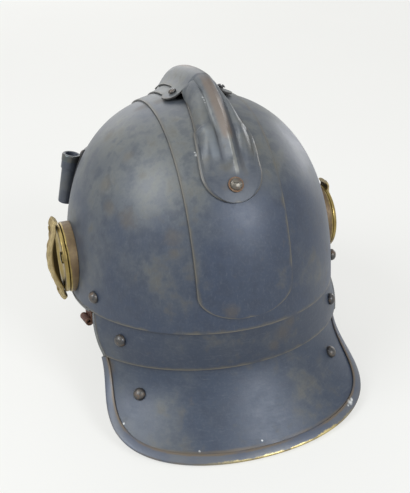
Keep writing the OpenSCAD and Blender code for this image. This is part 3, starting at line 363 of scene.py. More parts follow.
def sheet_mesh(outer, inner, wrap=False, capped=False):
    """Points, quads and edge places of a plate between two grids."""
    rows, cols = outer.shape[:2]
    faces = np.concatenate([grid_faces(rows, cols, 0, wrap, True),
                            grid_faces(rows, cols, rows * cols, wrap, False),
                            wall_faces(rows, cols, wrap, capped)])
    flat = rim_places(outer, wrap, capped)
    return (np.concatenate([outer.reshape(-1, 3), inner.reshape(-1, 3)]), faces,
            np.concatenate([flat, flat]))


def joined(parts):
    """Several meshes as one list of points, quads and edge places."""
    starts = np.cumsum([0] + [len(p[0]) for p in parts[:-1]])
    return (np.concatenate([p[0] for p in parts]),
            np.concatenate([p[1] + k for p, k in zip(parts, starts)]),
            np.concatenate([p[2] for p in parts]))


def plate(name, outer, inner, body="helmet", slot="blue_paint", wrap=False, capped=False,
          node=None, smooth_angle=40):
    """A piece between two grids, whose columns run so that columns x rows points outward."""
    return dressed(name, sheet_mesh(outer, inner, wrap, capped), body, slot, smooth_angle, node)


def line(start, end, count):
    """Evenly spaced values as a column."""
    return np.linspace(start, end, count)[:, None]


def across(start, end, count):
    """Evenly spaced values as a row."""
    return np.linspace(start, end, count)[None, :]


# %% [markdown]
# ## The bowl and its crown strip
#
# The bowl is one sheet beaten up from a disc. A strip laid from brow to nape covers its crown and
# carries the crest. It is cut with round ends and lies 0.3 mm off the bowl, so its edge catches a
# thin line of light, as in the photograph.

# %% Bowl
def bowl_rows(off, rows=64, cols=256):
    """Rows of the bowl from its lower edge to the crown."""
    a = across(0, -360 * (1 - 1 / cols), cols)
    t = np.radians(line(0, 90, rows))
    r = np.cos(t).clip(0) ** (2 / dome_power)
    z = widest_line + (dome_rise + off) * np.sin(t) ** (2 / dome_power)
    a = np.radians(a)
    dome = points((bowl_half_width + off) * r * np.sin(a), (bowl_half_length + off) * r * np.cos(a), z)
    skirt = bowl_at(across(0, -360 * (1 - 1 / cols), cols), line(0, widest_line * 0.7, 3), off)
    return np.concatenate([skirt, dome])


plate("bowl", bowl_rows(0.0), bowl_rows(-bowl_wall), wrap=True, capped=True, node="skull")


# %% Crest places
def crown_point(t):
    """Point in the middle plane at the turn t from the crown, 90 at the rear."""
    t = np.radians(t)
    y = bowl_half_length * signed_power(np.sin(t), 2 / dome_power)
    z = widest_line + dome_rise * np.cos(t).clip(0) ** (2 / dome_power)
    return points(0 * y, y, z)


def crown_normal(t):
    """Direction square to the bowl in the middle plane."""
    return bowl_normal(crown_point(np.where(np.abs(t) < 0.01, 0.01, np.abs(t)))) * np.stack(
        [np.ones_like(t), np.where(t < 0, -1.0, 1.0), np.ones_like(t)], -1)


def within_bowl(p):
    """True where a point lies inside the bowl's outer surface."""
    h = np.maximum(0, p[..., 2] - widest_line) / dome_rise
    r = np.hypot(p[..., 0] / bowl_half_width, p[..., 1] / bowl_half_length)
    return r**dome_power + h**dome_power < 1


def on_crest(t, x, off):
    """Point x beside the middle plane at the turn t, and off above the bowl along the normal."""
    t, x, off = np.broadcast_arrays(np.asarray(t, float), x, off)
    base, normal = crown_point(t), crown_normal(t)
    base = base + points(x, 0, 0)
    low, high = np.zeros(t.shape), np.full(t.shape, 40.0)
    for _ in range(22):
        mid = (low + high) / 2
        hit = within_bowl(base - normal * mid[..., None])
        low, high = np.where(hit, low, mid), np.where(hit, mid, high)
    return base + normal * (off - (low + high) / 2)[..., None]


def turn_at_height(z):
    """Turn along the middle plane of the rear point at height z."""
    return np.degrees(np.arccos(((z - widest_line) / dome_rise) ** (dome_power / 2)))


def turn_at_length(y):
    """Turn along the middle plane of the point y behind the crown."""
    y = np.asarray(y, float)
    t = np.degrees(np.arcsin(np.minimum(1, (np.abs(y) / bowl_half_length) ** (dome_power / 2))))
    return np.sign(y) * t


# %% Crown strip
strip_half_width, strip_wall = 30.2, 1.0
strip_top = seat + strip_wall
strip_end_height, strip_end_round = 8.5, 17.0
strip_end = turn_at_height(strip_end_height)
strip_round = turn_at_height(strip_end_height + strip_end_round)


def strip_half(t):
    """Half width of the strip: full, then a rounded end."""
    f = np.maximum(0, (np.abs(t) - strip_round) / (strip_end - strip_round))
    return strip_half_width * np.maximum(0, 1 - f**2.3) ** (1 / 2.3)


def strip_rows(off):
    """Rows of the strip from the nape to the brow, closer together towards the ends."""
    straight = np.linspace(1, -1, 101) * strip_round
    bend = mix(strip_round, strip_end * 0.9995, np.sin(np.linspace(90, 5, 18) * np.pi / 180))
    t = np.concatenate([bend, straight, -bend[::-1]])[:, None]
    return on_crest(t, strip_half(t) * across(1, -1, 41), off)


plate("crown_strip", strip_rows(strip_top), strip_rows(seat))

# %% [markdown]
# ## The crest
#
# The comb is a hollow ridge raised from one sheet, smooth and bell-shaped in section. It begins in a
# narrow nose on the brow. Over its rear end sits the tail: a hood with two round ears, a narrow
# neck, and a tongue with a fin in the middle and a soft lobe on each side. The two run as one shape,
# so the fin grows out of the comb and dies away on the tongue.

# %% Comb
comb_half_width, comb_height, comb_waist = 20.5, 13.5, 0.45
comb_nose_half, comb_nose_height = 11.0, 66.0
crest_wall, crest_sway = 1.0, 2.0
ear_radius, ear_side, ear_back = 7.2, 16.2, 15.0
comb_seat = strip_top + seat
comb_nose = -turn_at_height(comb_nose_height)
comb_end = float(turn_at_length(ear_back + 3))


def comb_swell(t):
    """How far the comb has grown from its nose: 0 at the nose, 1 from the crown on."""
    return np.sin(np.pi / 2 * clamp((t - comb_nose) / -comb_nose))


def comb_edge(t):
    """Half width of the comb's foot."""
    return (mix(comb_nose_half, comb_half_width, comb_swell(t) ** 0.8)
            * np.sqrt(np.minimum(1, 0.25 + np.maximum(0, t - comb_nose) / 5)))


def comb_rise(t):
    """Height of the comb's ridge."""
    return np.maximum(1, comb_height * comb_swell(t) ** 1.4)


def bell(share):
    """A bell: 1 in the middle, a half at the waist."""
    return 1 / (1 + (np.abs(share) / comb_waist) ** 3)


def comb_profile(t, x):
    """Height of the comb at x beside its middle."""
    return comb_rise(t) * (bell(x / comb_edge(t)) - bell(1)) / (1 - bell(1))


def comb_lean(t):
    """The comb leans a little to the wearer's right."""
    return crest_sway * comb_swell(t)


def thinner(x, h, wall):
    """Section points moved inward by wall, square to the section."""
    x1 = np.concatenate([x[:, :1], x, x[:, -1:]], 1)
    h1 = np.concatenate([h[:, :1], h, h[:, -1:]], 1)
    d = unit(np.stack([x1[:, 2:] - x1[:, :-2], h1[:, 2:] - h1[:, :-2]], -1))
    return x - d[..., 1] * wall, h + d[..., 0] * wall


def comb_rows(wall, rows=90, cols=61):
    """Rows of the comb from under the tail to its nose."""
    f = 1 - line(1, 0, rows)
    t = mix(comb_nose, comb_end, 1 - f**1.25)
    share = signed_power(across(1, -1, cols), 0.9)
    x = comb_edge(t) * share
    x, h = thinner(x, comb_profile(t, x), wall)
    return on_crest(t, x - comb_lean(t), comb_seat + crest_wall + h)


plate("crest_comb", comb_rows(0.0), comb_rows(crest_wall), smooth_angle=50)

# %% Tail: outline and flutes
neck_half, tongue_half, tongue_tip_height = 11.6, 18.6, 75.0
hood_front, hood_half, ridge_half = -42.0, 13.0, 6.4
neck_start, shoulder, tongue_widest, flute_end = 25.5, 31.0, 48.0, 45.0
ear_from, ear_to = -61.6, 124.0
neck_turn = float(turn_at_length(neck_start))
tail_tip = turn_at_height(tongue_tip_height)


def tail_lean(t):
    """Sideways lean of the tail's ridge."""
    return (comb_lean(t) * (1 + 0.5 * ease((t - comb_end) / 16)) * (1 - 0.5 * ease((t - 28) / 20))
            * (1 - ease((t - 44) / 14)))


def rim_lean(t):
    """Sideways lean of the tail's outline."""
    return comb_lean(t) * mix(1, 0.8, ease((t - comb_end) / 9)) * (1 - ease((t - 34) / 14))


def tail_half(t):
    """Half width of the tail: a slowly widening neck, shoulders, and a round-ended tongue."""
    neck = mix(neck_half, neck_half + 4.6, (t - neck_turn) / (shoulder - neck_turn))
    grown = clamp((t - shoulder) / (tongue_widest - shoulder)) ** 0.42
    widening = mix(neck_half + 4.6, tongue_half, np.sin(np.pi / 2 * grown))
    end = clamp((t - tongue_widest) / (tail_tip - tongue_widest)) ** 2.1
    rounded = tongue_half * (1 - end) ** (1 / 2.1)
    return np.where(t < shoulder, neck, np.where(t < tongue_widest, widening, rounded))


def flute_fade(t):
    """The lobes die away slowly towards the tongue's end."""
    return ease((flute_end + 5 - t) / 16)


def fin_height(t):
    """Height of the middle fin, which stays crisp to its round end."""
    return ease((flute_end + 4.5 - t) / 7) * mix(comb_height, 3.0, ease((t - 6) / 44))


def crease_height(t):
    """Height of the crease on each side of the fin."""
    return (flute_fade(t) * mix(comb_height, 2.6, ease((t - 6) / 44))
            * mix(0.8, 0.25, ease((t - 6) / 40)))


def tail_rows(wall):
    """Rows of the tail from the tongue's end to the hood's front."""
    ridge = np.radians(across(9, 90, 10))
    side = across(0, 1, 18)

    def hood(ex, ey, m):
        """Rows of the hood: their ends ex, ey fan out around the ears' rims."""
        t = np.minimum(0, turn_at_length(m))
        x = np.concatenate([mix(ex, ridge_half, side), ridge_half * np.cos(ridge) + 0 * ex], 1)
        back = clamp((x - ridge_half) / (ex - ridge_half)) ** 1.5
        return x, comb_profile(t, x), mix(m, ey, back)

    front = line(hood_front, 5, 26)
    lead = line(0.1, 0.9, 5)
    start = np.radians(ear_from)
    lead_x = mix(hood_half, ear_side + ear_radius * np.cos(start), lead)
    lead_y = mix(5, ear_back + ear_radius * np.sin(start), lead)
    turn = line(ear_from, ear_to, 26)
    ear_x = ear_side + ear_radius * np.cos(np.radians(turn))
    ear_y = ear_back + ear_radius * np.sin(np.radians(turn))
    ear_mid = np.where(turn < 0, ear_y, mix(ear_back, neck_start - 1.8, turn / ear_to))
    hood_rows = [hood(hood_half + 0 * front, front, front), hood(lead_x, lead_y, lead_y),
                 hood(ear_x, ear_y, ear_mid)]

    t = np.concatenate([np.linspace(neck_turn, 30.2, 40), np.linspace(30.4, 32, 8),
                        np.linspace(32.4, 52, 44),
                        mix(52, tail_tip * 0.9995, np.sin(np.radians(np.linspace(4, 90, 22))))])[:, None]
    half = tail_half(t)
    r = np.minimum(mix(ridge_half, 5.6, clamp((t - neck_turn) / (flute_end - neck_turn))), half * 0.4)
    f = half - np.minimum(mix(0.7, 2.6, ease((t - shoulder) / 3)), half * 0.15)
    u = clamp((side - 2 / 17) / (15 / 17))
    x_side = np.where(side == 0, half, mix(f, r, u))
    x_side[:, 1] = mix(half, f, 0.45)[:, 0]
    lobe = flute_fade(t) * np.minimum(2.8, 0.24 * (half - r)) * clamp((t - neck_turn) / 12)
    h_side = crease_height(t) * np.sin(np.pi / 2 * u) ** 0.8 + lobe * np.sin(np.pi * u)
    h_side[:, 1] += 0.75 * ease((t - shoulder) / 7)[:, 0]
    sharp = mix(np.sin(ridge), (1 - np.cos(ridge)) ** 1.3, ease((t - 11) / 17))
    x = np.concatenate([x_side, r * np.cos(ridge)], 1)
    h = np.concatenate([h_side, mix(crease_height(t), fin_height(t), sharp)], 1)
    tail = (x, h, crown_point(t)[..., 1] + 0 * x)

    last, first = [v[-1:] for v in hood_rows[-1]], [v[:1] for v in tail]
    blend = ease(line(0.12, 0.88, 7))
    bridge = [mix(p, q, blend) for p, q in zip(last, first)]
    x, h, y = [np.concatenate(v)[::-1] for v in zip(*hood_rows, bridge, tail)]
    x = np.concatenate([x, -x[:, -2::-1]], 1)
    h = np.concatenate([h, h[:, -2::-1]], 1)
    y = np.concatenate([y, y[:, -2::-1]], 1)
    lift = (crest_wall + seat) * (1 - ease((turn_at_length(y[:, :1]) - neck_turn) / 7))
    x, h = thinner(x, h, wall - lift)
    t = turn_at_length(y)
    out = clamp((np.abs(x) - ridge_half) / 5)
    return on_crest(t, x - mix(tail_lean(t), rim_lean(t), out), comb_seat + crest_wall + h)


plate("crest_tail", tail_rows(0.0), tail_rows(crest_wall), smooth_angle=50)

# %% [markdown]
# ## The lames, the peak and their bindings
#
# Plate edges like these are bound with a folded brass strip, hammered over the rim so that nothing
# cuts. Here it was painted over with the rest, and the brass shows again where the paint has gone.
# The binding is one U-shaped section carried along the rim line of its sheet.


# %% Grids that fill a lame
def oval_grid(rows, cols):
    """A square grid laid over a half oval, so that no row shrinks to a point."""
    return across(1, -1, cols), line(1, 0, rows)


def oval_place(u, v, power):
    """Where the grid place (u, v) lies on an oval of the given power."""
    return (signed_power(u * np.sqrt(1 - v * v / 2), 2 / power),
            signed_power(v * np.sqrt(1 - u * u / 2), 2 / power))


pivot_cover, pivot_reach, pivot_slope = 7.0, 16.0, 9.0


def lap_top(a, pivot_angle, pivot_height):
    """How far a lame laps above its edge: higher beside its pivots."""
    beside = ease((np.abs(a) - (pivot_angle - pivot_reach)) / pivot_slope)
    return mix(lame_lap, pivot_height + pivot_cover, beside)


band_pivot_angle, band_pivot_height = 64.1, 12.3
guard_pivot_angle, guard_pivot_height = 50.0, -11.1


def band_half(z):
    """Half angle of the upper lame, narrower towards its lower edge."""
    return mix(68.6, guard_half_angle - 2.0, clamp(-z / band_depth))


def band_rows(off):
    """Rows of the upper lame from its lower edge to its lap inside the bowl."""
    z = line(-band_depth, -spread_start, 26)
    low = moved(band_sheet, band_half(z) * across(1, -1, 161), z, off)
    a = band_half(0.0) * across(1, -1, 161)
    top = lap_top(a, band_pivot_angle, band_pivot_height)
    lap = moved(band_sheet, a, mix(-spread_start, top, line(0.1, 1, 10)), off)
    return np.concatenate([low, lap])


def guard_rows(off):
    """Rows of the lower lame from its rim to its lap inside the upper one."""
    x, y = oval_place(*oval_grid(40, 181), guard_power)
    low = moved(guard_sheet, guard_half_angle * shoulders(y) * x, -band_depth - guard_depth * y, off)
    a = guard_half_angle * shoulders(0) * oval_place(across(1, -1, 181), 0, guard_power)[0]
    top = lap_top(a, guard_pivot_angle, guard_pivot_height + band_depth) - band_depth
    z = mix(-band_depth, top, line(1 / 16, 1, 16))
    spread = 1 + 0.07 * clamp((z + band_depth) / 13) - 0.1 * ease((z + band_depth - 13) / 6)
    lap = moved(guard_sheet, a * spread, z, off)
    return np.concatenate([low, lap])


def peak_rows(off):
    """Rows of the peak from its rim to its lap inside the brow."""
    x, y = oval_place(*oval_grid(28, 161), peak_power)
    low = moved(peak_sheet, 180 + peak_half_angle * x, -peak_drop * y, off)
    a = 180 + peak_half_angle * oval_place(across(1, -1, 161), 0, peak_power)[0]
    return np.concatenate([low, moved(peak_sheet, a, line(1, peak_lap, 6), off)])


plate("neck_band", band_rows(0.0), band_rows(-lame_wall), body="band")
plate("neck_guard", guard_rows(0.0), guard_rows(-lame_wall), body="guard")
plate("peak", peak_rows(0.0), peak_rows(-peak_wall))


# %% Bindings
def ring_faces(rows, cols):
    """Quads of closed rings laid one after another, and the two flat ends that close them."""
    ends = [list(range(cols)), [(rows - 1) * cols + j for j in reversed(range(cols))]]
    return grid_faces(rows, cols, 0, True, True).tolist() + ends


def binding(name, sheet, edge, end, wall, body, steps=220):
    """A U-shaped strip around the rim of a sheet, closed at its two ends."""
    s = line(end, -end, steps)[:, 0]
    turn = np.radians(np.linspace(90, -90, 9))
    half = wall / 2 + seat + binding_wall
    section = [(binding_width, seat), (binding_width, seat + binding_wall * 0.7),
               (binding_width - 0.4, seat + binding_wall), (0.6, seat + binding_wall)]
    section += [(-seat - binding_wall * np.cos(t), -wall / 2 + half * np.sin(t)) for t in turn]
    section += [(0.6, -wall - seat - binding_wall), (binding_width, -wall - seat - binding_wall),
                (binding_width, -wall - seat), (-seat, -wall - seat), (-seat, seat)]
    rings = np.stack([edge_point(sheet, edge, s, inward, off) for inward, off in section], 1)
    n, m = rings.shape[:2]
    along = np.linalg.norm(np.diff(rings[:, 6], axis=0, prepend=rings[:1, 6]), axis=-1).cumsum()
    flat = np.stack([np.broadcast_to([i for i, _ in section], (n, m)),
                     np.broadcast_to(along[:, None], (n, m))], -1).reshape(-1, 2)
    return dressed(name, (rings.reshape(-1, 3), ring_faces(n, m), flat), body, "old_brass", 50)


guard_binding_end, peak_binding_end = 87.2, 84.0
binding("guard_binding", guard_sheet, guard_edge, guard_binding_end, lame_wall, "guard")
binding("peak_binding", peak_sheet, peak_edge, peak_binding_end, peak_wall, "helmet")

# %% [markdown]
# ## Turned pieces: rivets, studs and the plume tube
#
# Whatever a lathe or a heading tool makes is a profile turned about an axis. `turned` sets the same
# profile up at one or more places, each with its own direction.


# %% Turn a profile about an axis
def frame_of(way):
    """For each direction, two square to it and the direction itself, all at length 1."""
    way = unit(np.asarray(way, float))
    flat = np.hypot(way[..., 0], way[..., 1])[..., None]
    side = unit(np.where(flat > 1e-6, points(-way[..., 1], way[..., 0], 0), [0.0, 1.0, 0.0]))
    return np.cross(side, way), side, way


def turned_mesh(profile, place, way, steps=40):
    """A closed profile of (radius, height) turned at a place along a direction."""
    profile = np.asarray(profile, float)
    turn = np.radians(np.linspace(0, 360, steps, endpoint=False))
    u, v, w = frame_of(way)
    ring = np.cos(turn)[None, :, None] * u + np.sin(turn)[None, :, None] * v
    rings = np.asarray(place) + profile[:, 0][:, None, None] * ring + profile[:, 1][:, None, None] * w
    length = np.hypot(*np.diff(profile, axis=0, prepend=profile[:1]).T).cumsum()
    flat = np.stack([np.broadcast_to(length[:, None], rings.shape[:2]),
                     np.broadcast_to(profile[:, :1] * turn, rings.shape[:2])], -1).reshape(-1, 2)
    return rings.reshape(-1, 3), grid_faces(len(profile), steps, 0, True, True), flat


def turned(name, profile, places, ways, body, slot, steps=40, smooth_angle=40):
    """One piece of the same profile at several places. The profile runs up from the axis."""
    parts = [turned_mesh(profile, p, w, steps) for p, w in zip(places, ways)]
    return dressed(name, joined(parts), body, slot, smooth_angle)


def rivet_profile(grip, head_r=4.0, head_h=3.5, shank_r=2.0):
    """A burr, a shank and a domed head, a little flattened by the hammer on top."""
    t = np.radians(np.linspace(0, 90, 12))
    dome = [(head_r * np.cos(a), 0.4 + (head_h - 0.4) * np.sin(a) ** 0.94) for a in t]
    return [(0, -grip - 1), (shank_r + 1.4, -grip - 1), (shank_r + 1.4, -grip - 0.2),
            (shank_r + 1.1, -grip), (shank_r, -grip), (shank_r, 0), (head_r - 0.15, 0),
            (head_r, 0.15)] + dome


def both_ways(p):
    """A point or direction and its mirror image on the other side."""
    p = np.asarray(p, float).reshape(3)
    return [p, p * [-1, 1, 1]]


def shifted(places, ways, by):
    """Places moved along their directions."""
    return [np.asarray(p) + unit(np.asarray(w)) * by for p, w in zip(places, ways)]


def one(p):
    """The single point of an array of one."""
    return np.asarray(p, float).reshape(-1, 3)[0]


# %% Rivets
def bowl_place(a, z):
    """Point of the bowl at the angle a and height z, and the direction square to it."""
    at = one(bowl_at(a, z))
    return at, bowl_normal(at)


def sheet_place(sheet, a, z):
    """Point of a lame at the angle a and height z, and the direction square to it."""
    a, z = np.array([a]), np.array([z])
    return one(sheet(a, z)), one(sheet_normal(sheet, a, z))


def rivets(name, seats, grip, body):
    """A rivet at each place and at its mirror image, its head seated on the sheet."""
    places = [p for at, _ in seats for p in both_ways(at)]
    ways = [w for _, way in seats for w in both_ways(way)]
    turned(name, rivet_profile(grip), shifted(places, ways, seat / 2), ways, body, "iron_hardware")


strap_leather, strap_rivet_angle, strap_rivet_height = 1.6, 41.5, -43.9
peak_rivet_height, peak_rivet_angles = 5.0, (-152.0, -124.0)
rivets("band_rivets", [bowl_place(band_pivot_angle, band_pivot_height)],
       bowl_wall + lame_clear + lame_wall + 2 * seat + 0.4, "helmet")
rivets("guard_rivets", [sheet_place(band_sheet, guard_pivot_angle, guard_pivot_height)],
       2 * lame_wall + lame_clear + guard_side_in + 2 * seat + 0.6, "band")
rivets("strap_rivets", [sheet_place(guard_sheet, strap_rivet_angle, strap_rivet_height)],
       lame_wall + strap_leather + 3 * seat, "guard")
rivets("peak_rivets", [bowl_place(a, peak_rivet_height) for a in peak_rivet_angles],
       bowl_wall + lame_clear + peak_wall + 2 * seat, "helmet")

# %% [markdown]
# ## Screws
#
# The crest is held by slotted screws: one in the nose, one through each ear and one with a washer
# below the tongue. The head is a grid of straight rows, so the saw cut's two edges run straight
# across it.


# %% Slotted heads
def screw_mesh(radius, height, grip, shank, place, way, twist, depth):
    """A domed head with a slot sawn across it, on a plain shank."""
    cut = 0.45
    edge = radius * np.cos(np.radians(np.linspace(180, 0, 25)))
    rows = np.unique(np.round(np.concatenate([edge, [-cut - 0.06, -cut, cut, cut + 0.06]]), 4))[:, None]
    x = across(-1, 1, 25) * np.sqrt(np.maximum(0, radius**2 - rows**2))
    r = np.sqrt(x**2 + rows**2) / radius
    z = 0.4 + (height - 0.4) * np.sqrt(np.maximum(0, 1 - r**2)) ** 0.9
    z = np.where(np.abs(rows) <= cut + 1e-6, np.minimum(z, height - depth), z)
    turn = np.radians(twist)
    u, v, w = frame_of(way)
    across_slot, along_slot = -np.sin(turn) * u + np.cos(turn) * v, np.cos(turn) * u + np.sin(turn) * v
    top = place + x[..., None] * along_slot + rows[..., None] * across_slot + z[..., None] * w
    low = place + x[..., None] * along_slot + rows[..., None] * across_slot + 0 * z[..., None] * w
    head = sheet_mesh(top[:, ::-1], low[:, ::-1])
    stem = turned_mesh([(0, -grip), (shank, -grip), (shank, 0.02), (0, 0.02)], place, way, 24)
    return joined([head, stem])


tail_screw_rise, screw_shank, washer_wall = 9.0, 1.6, 0.8
tail_screw_turn = turn_at_height(tongue_tip_height + tail_screw_rise)
tail_screw_at = one(on_crest(tail_screw_turn, 0, comb_seat + crest_wall))
tail_screw_way = one(crown_normal(np.array([tail_screw_turn])))
screw_grip = comb_seat + crest_wall + bowl_wall + seat + 2.4 + 1
head_at = tail_screw_at + tail_screw_way * (seat + washer_wall)
dressed("tail_screw", screw_mesh(3.7, 2.4, screw_grip + seat + washer_wall, screw_shank, head_at,
                                 tail_screw_way, 86, 1.0), "helmet", "iron_hardware")
turned("tail_washer", [(1.7, 0), (4.3, 0), (4.6, 0.2), (4.6, 0.6), (4.4, 0.8), (1.7, 0.8), (1.7, 0)],
       [tail_screw_at + tail_screw_way * seat], [tail_screw_way], "helmet", "iron_hardware")

nose_turn = comb_nose + 5
nose_at = one(on_crest(nose_turn, 0, comb_seat + crest_wall + comb_rise(nose_turn) + seat))
nose_way = one(crown_normal(np.array([nose_turn])))
nose_grip = screw_grip + float(comb_rise(nose_turn)) + seat
dressed("nose_screw", screw_mesh(3.0, 2.0, nose_grip, screw_shank, nose_at, nose_way, 35, 0.9),
        "helmet", "iron_hardware")

ear_slope = float(comb_profile(0.0, ear_side + 0.5) - comb_profile(0.0, ear_side - 0.5))
ear_off = comb_seat + 2 * crest_wall + seat + float(comb_profile(0.0, ear_side))
ear_at = one(on_crest(float(turn_at_length(ear_back)), ear_side - crest_sway, ear_off))
ear_ways = both_ways(unit(np.array([-ear_slope, 0, 1])))
ear_grip = 3 * seat + 2 * crest_wall + 1.2
heads = [screw_mesh(2.7, 1.7, ear_grip, screw_shank, p + w * 2 * seat, w, twist, 0.8)
         for p, w, twist in zip([ear_at, ear_at - [2 * ear_side, 0, 0]], ear_ways, (20, 65))]
dressed("ear_screws", joined(heads), "helmet", "iron_hardware")

# %% [markdown]
# ## The ear bosses
#
# On each side a brass ring is bolted to the bowl. A dished disc turns on its stud, and a loop of
# buff leather pinned across the disc takes the end of the chin strap. The left loop stands up as in
# the photograph. The right one, out of sight there, lies flat.

# %% Places on a boss
boss_radius, boss_face, boss_recess, stud_radius = 23.8, 3.6, 1.2, 3.0
disc_seat = boss_face - boss_recess + seat
disc_radius, disc_rim_top, disc_floor = boss_radius - 2.2, 3.7, 1.4
boss_angle = np.degrees(np.arccos(4.0 / bowl_half_length))
boss_foot = one(bowl_at(boss_angle, 26.8))
boss_way = unit(bowl_normal(boss_foot) * [1, 1, 0])
boss_level = np.array([-boss_way[1], boss_way[0], 0.0])
boss_up = np.array([0.0, 0.0, 1.0])


def on_boss(x, y, h):
    """Point x along the boss's level axis, y up it, and h out from its foot."""
    x, y, h = np.broadcast_arrays(np.asarray(x, float), y, h)
    return (boss_foot + x[..., None] * boss_level + y[..., None] * boss_up + h[..., None] * boss_way)


def boss_gap(x, y):
    """Depth of the bowl's side below the boss's plane."""
    p = on_boss(x, y, 0)
    rz = dome_share((p[..., 2] - widest_line) / dome_rise)
    side = bowl_half_width * rz * np.sqrt(np.maximum(0, 1 - (p[..., 1] / (bowl_half_length * rz)) ** 2))
    return (boss_foot[0] - side) * boss_way[0] + (boss_foot[1] - p[..., 1]) * boss_way[1]


def flipped(mesh):
    """The mirror image of a mesh on the wearer's right."""
    verts, faces, flat = mesh
    return verts * [-1, 1, 1], faces[:, ::-1], flat


def boss_piece(name, mesh, left, body, slot):
    """A piece of the left boss, or its mirror image."""
    dressed(name, mesh if left else flipped(mesh), body, slot)


# %% Rings, discs and studs
def ring_mesh():
    """The fixed ring: its foot follows the bowl, its face is flat with a recess inside."""
    turn = np.radians(across(0, 360 * (1 - 1 / 96), 96))
    rr = boss_radius
    steps = [(rr, None), (rr, 0.5), (rr, boss_face - 0.7), (rr - 0.2, boss_face - 0.2),
             (rr - 0.7, boss_face), (rr * 0.93, boss_face), (rr * 0.92, boss_face - 0.1),
             (rr * 0.87, boss_face - boss_recess), (0.0, boss_face - boss_recess)]
    outer, inner, far = [], [], []
    for r, h in steps:
        x, y = r * np.cos(turn), r * np.sin(turn)
        foot = seat - boss_gap(x, y)
        height = foot if h is None else np.maximum(foot, h)
        outer.append(on_boss(x, y, height))
        inner.append(on_boss(x, y, foot))
        far.append(boss_face - height + rr - r)
    verts, faces, flat = sheet_mesh(np.concatenate(outer), np.concatenate(inner), True, True)
    flat[:, 0] = np.tile(np.concatenate(far).ravel(), 2)
    return verts, faces, flat


dr = disc_radius
disc_profile = [(0, 0), (dr - 5, 0), (dr - 2, 0.4), (dr - 0.6, 1.25), (dr + 1.3, 1.3), (dr + 1.6, 1.6),
                (dr + 1.6, disc_rim_top - 0.4), (dr + 1.35, disc_rim_top - 0.1),
                (dr + 0.9, disc_rim_top), (dr - 1.7, disc_rim_top), (dr - 2.3, disc_rim_top - 0.1),
                (dr - 3.2, 3.15), (dr - 4.2, 2.5), (dr - 5.4, 1.75), (dr - 6.8, disc_floor),
                (0, disc_floor)]
stud_low = bowl_wall + seat + 3.8 + float(boss_gap(0.0, 5.4))
stud_top = disc_seat + disc_floor + seat
stud_profile = [(0, -stud_low), (stud_radius, -stud_low), (stud_radius, stud_top), (4.2, stud_top),
                (4.4, stud_top + 0.2), (4.4, stud_top + 0.9), (4.1, stud_top + 1.3), (3.2, stud_top + 1.55),
                (0, stud_top + 1.65)]
for side, left in (("left", True), ("right", False)):
    boss_piece("boss_ring_" + side, ring_mesh(), left, "helmet", "old_brass")
    boss_piece("boss_disc_" + side, turned_mesh(disc_profile, on_boss(0, 0, disc_seat), boss_way, 96),
               left, side + "_boss", "old_brass")
    boss_piece("boss_stud_" + side, turned_mesh(stud_profile, boss_foot, boss_way, 48), left,
               "helmet", "old_brass")

# %% Leather loops and their pins
loop_base, loop_half, loop_foot = disc_seat + disc_rim_top + seat, disc_radius + 4.5, 0.74
loop_front, loop_droop = 0.0, 1.5
loop_width, loop_pin_at = 13.0, disc_radius - 0.2


def loop_line(f, high):
    """Side view of the loop: flat feet whose ends droop, and a bow of the given height."""
    s = np.abs(2 * f - 1)
    bow = high * clamp(1 - (s / loop_foot) ** 2)
    return np.stack([loop_half * (2 * f - 1) + 0 * bow,
                     loop_base + bow - loop_droop * clamp((s - 0.9) / 0.1) ** 1.5], -1)


def loop_rows(high, lift):
    """Points of the loop over its length and width, lifted square to its own line."""
    f, lane = line(0, 1, 121), across(1, -1, 31)
    lane_high = high * mix(1, loop_front, clamp(0.5 + lane / 2)) + 0 * f
    f = f + 0 * lane
    d = unit(loop_line(np.minimum(1, f + 0.01), lane_high)
             - loop_line(np.maximum(0, f - 0.01), lane_high))
    c = loop_line(f, lane_high) + np.stack([-d[..., 1], d[..., 0]], -1) * lift[..., None]
    wave = 0.45 * np.sin(17 * f + 2) * np.abs(lane) ** 3 + 0.25 * np.sin(41 * f) * lane**2
    return on_boss(-lane * loop_width / 2 + wave, c[..., 0], c[..., 1])


def loop_mesh(high, thick):
    """The strap's outer and inner faces, rounded towards its cut edges and a little lumpy."""
    f, lane = line(0, 1, 121), across(1, -1, 31)
    side = np.abs(lane) ** 6
    lump = 0.16 * np.sin(9 * f + 5 * lane) * np.sin(23 * f + 1) * (1 - side)
    crumple = 1 + 0.09 * np.sin(31 * f) * np.abs(lane) + lump * min(1, high / 3)
    crumple = crumple + 0.06 * high * clamp(1 - ((2 * f - 1) / loop_foot) ** 2)
    verts, faces, flat = sheet_mesh(loop_rows(high, thick * (1 - 0.3 * side) * crumple),
                                    loop_rows(high, thick * 0.25 * side + 0 * f))
    # The inner face gets negative edge places, so the leather finish paints it dark: painted shade inside
    # the loop.
    flat[len(flat) // 2:, 0] *= -1
    return verts, faces, flat


def pin_mesh(thick):
    """Two pins with flat round heads."""
    low, top = disc_seat + disc_rim_top - 1.3, loop_base + thick + seat / 2
    profile = [(0, low), (1.1, low), (1.1, top), (1.75, top), (1.9, top + 0.15), (1.9, top + 0.5),
               (1.6, top + 0.75), (0, top + 0.85)]
    return joined([turned_mesh(profile, boss_foot + s * loop_pin_at * boss_up, boss_way, 28)
                   for s in (-1, 1)])


for side, left, high, thick in (("left", True, loop_height, loop_thickness),
                                ("right", False, flat_loop_height, flat_loop_thickness)):
    boss_piece("loop_" + side, loop_mesh(high, thick), left, side + "_boss", "buff_leather")
    boss_piece("loop_pins_" + side, pin_mesh(thick), left, side + "_boss", "old_brass")
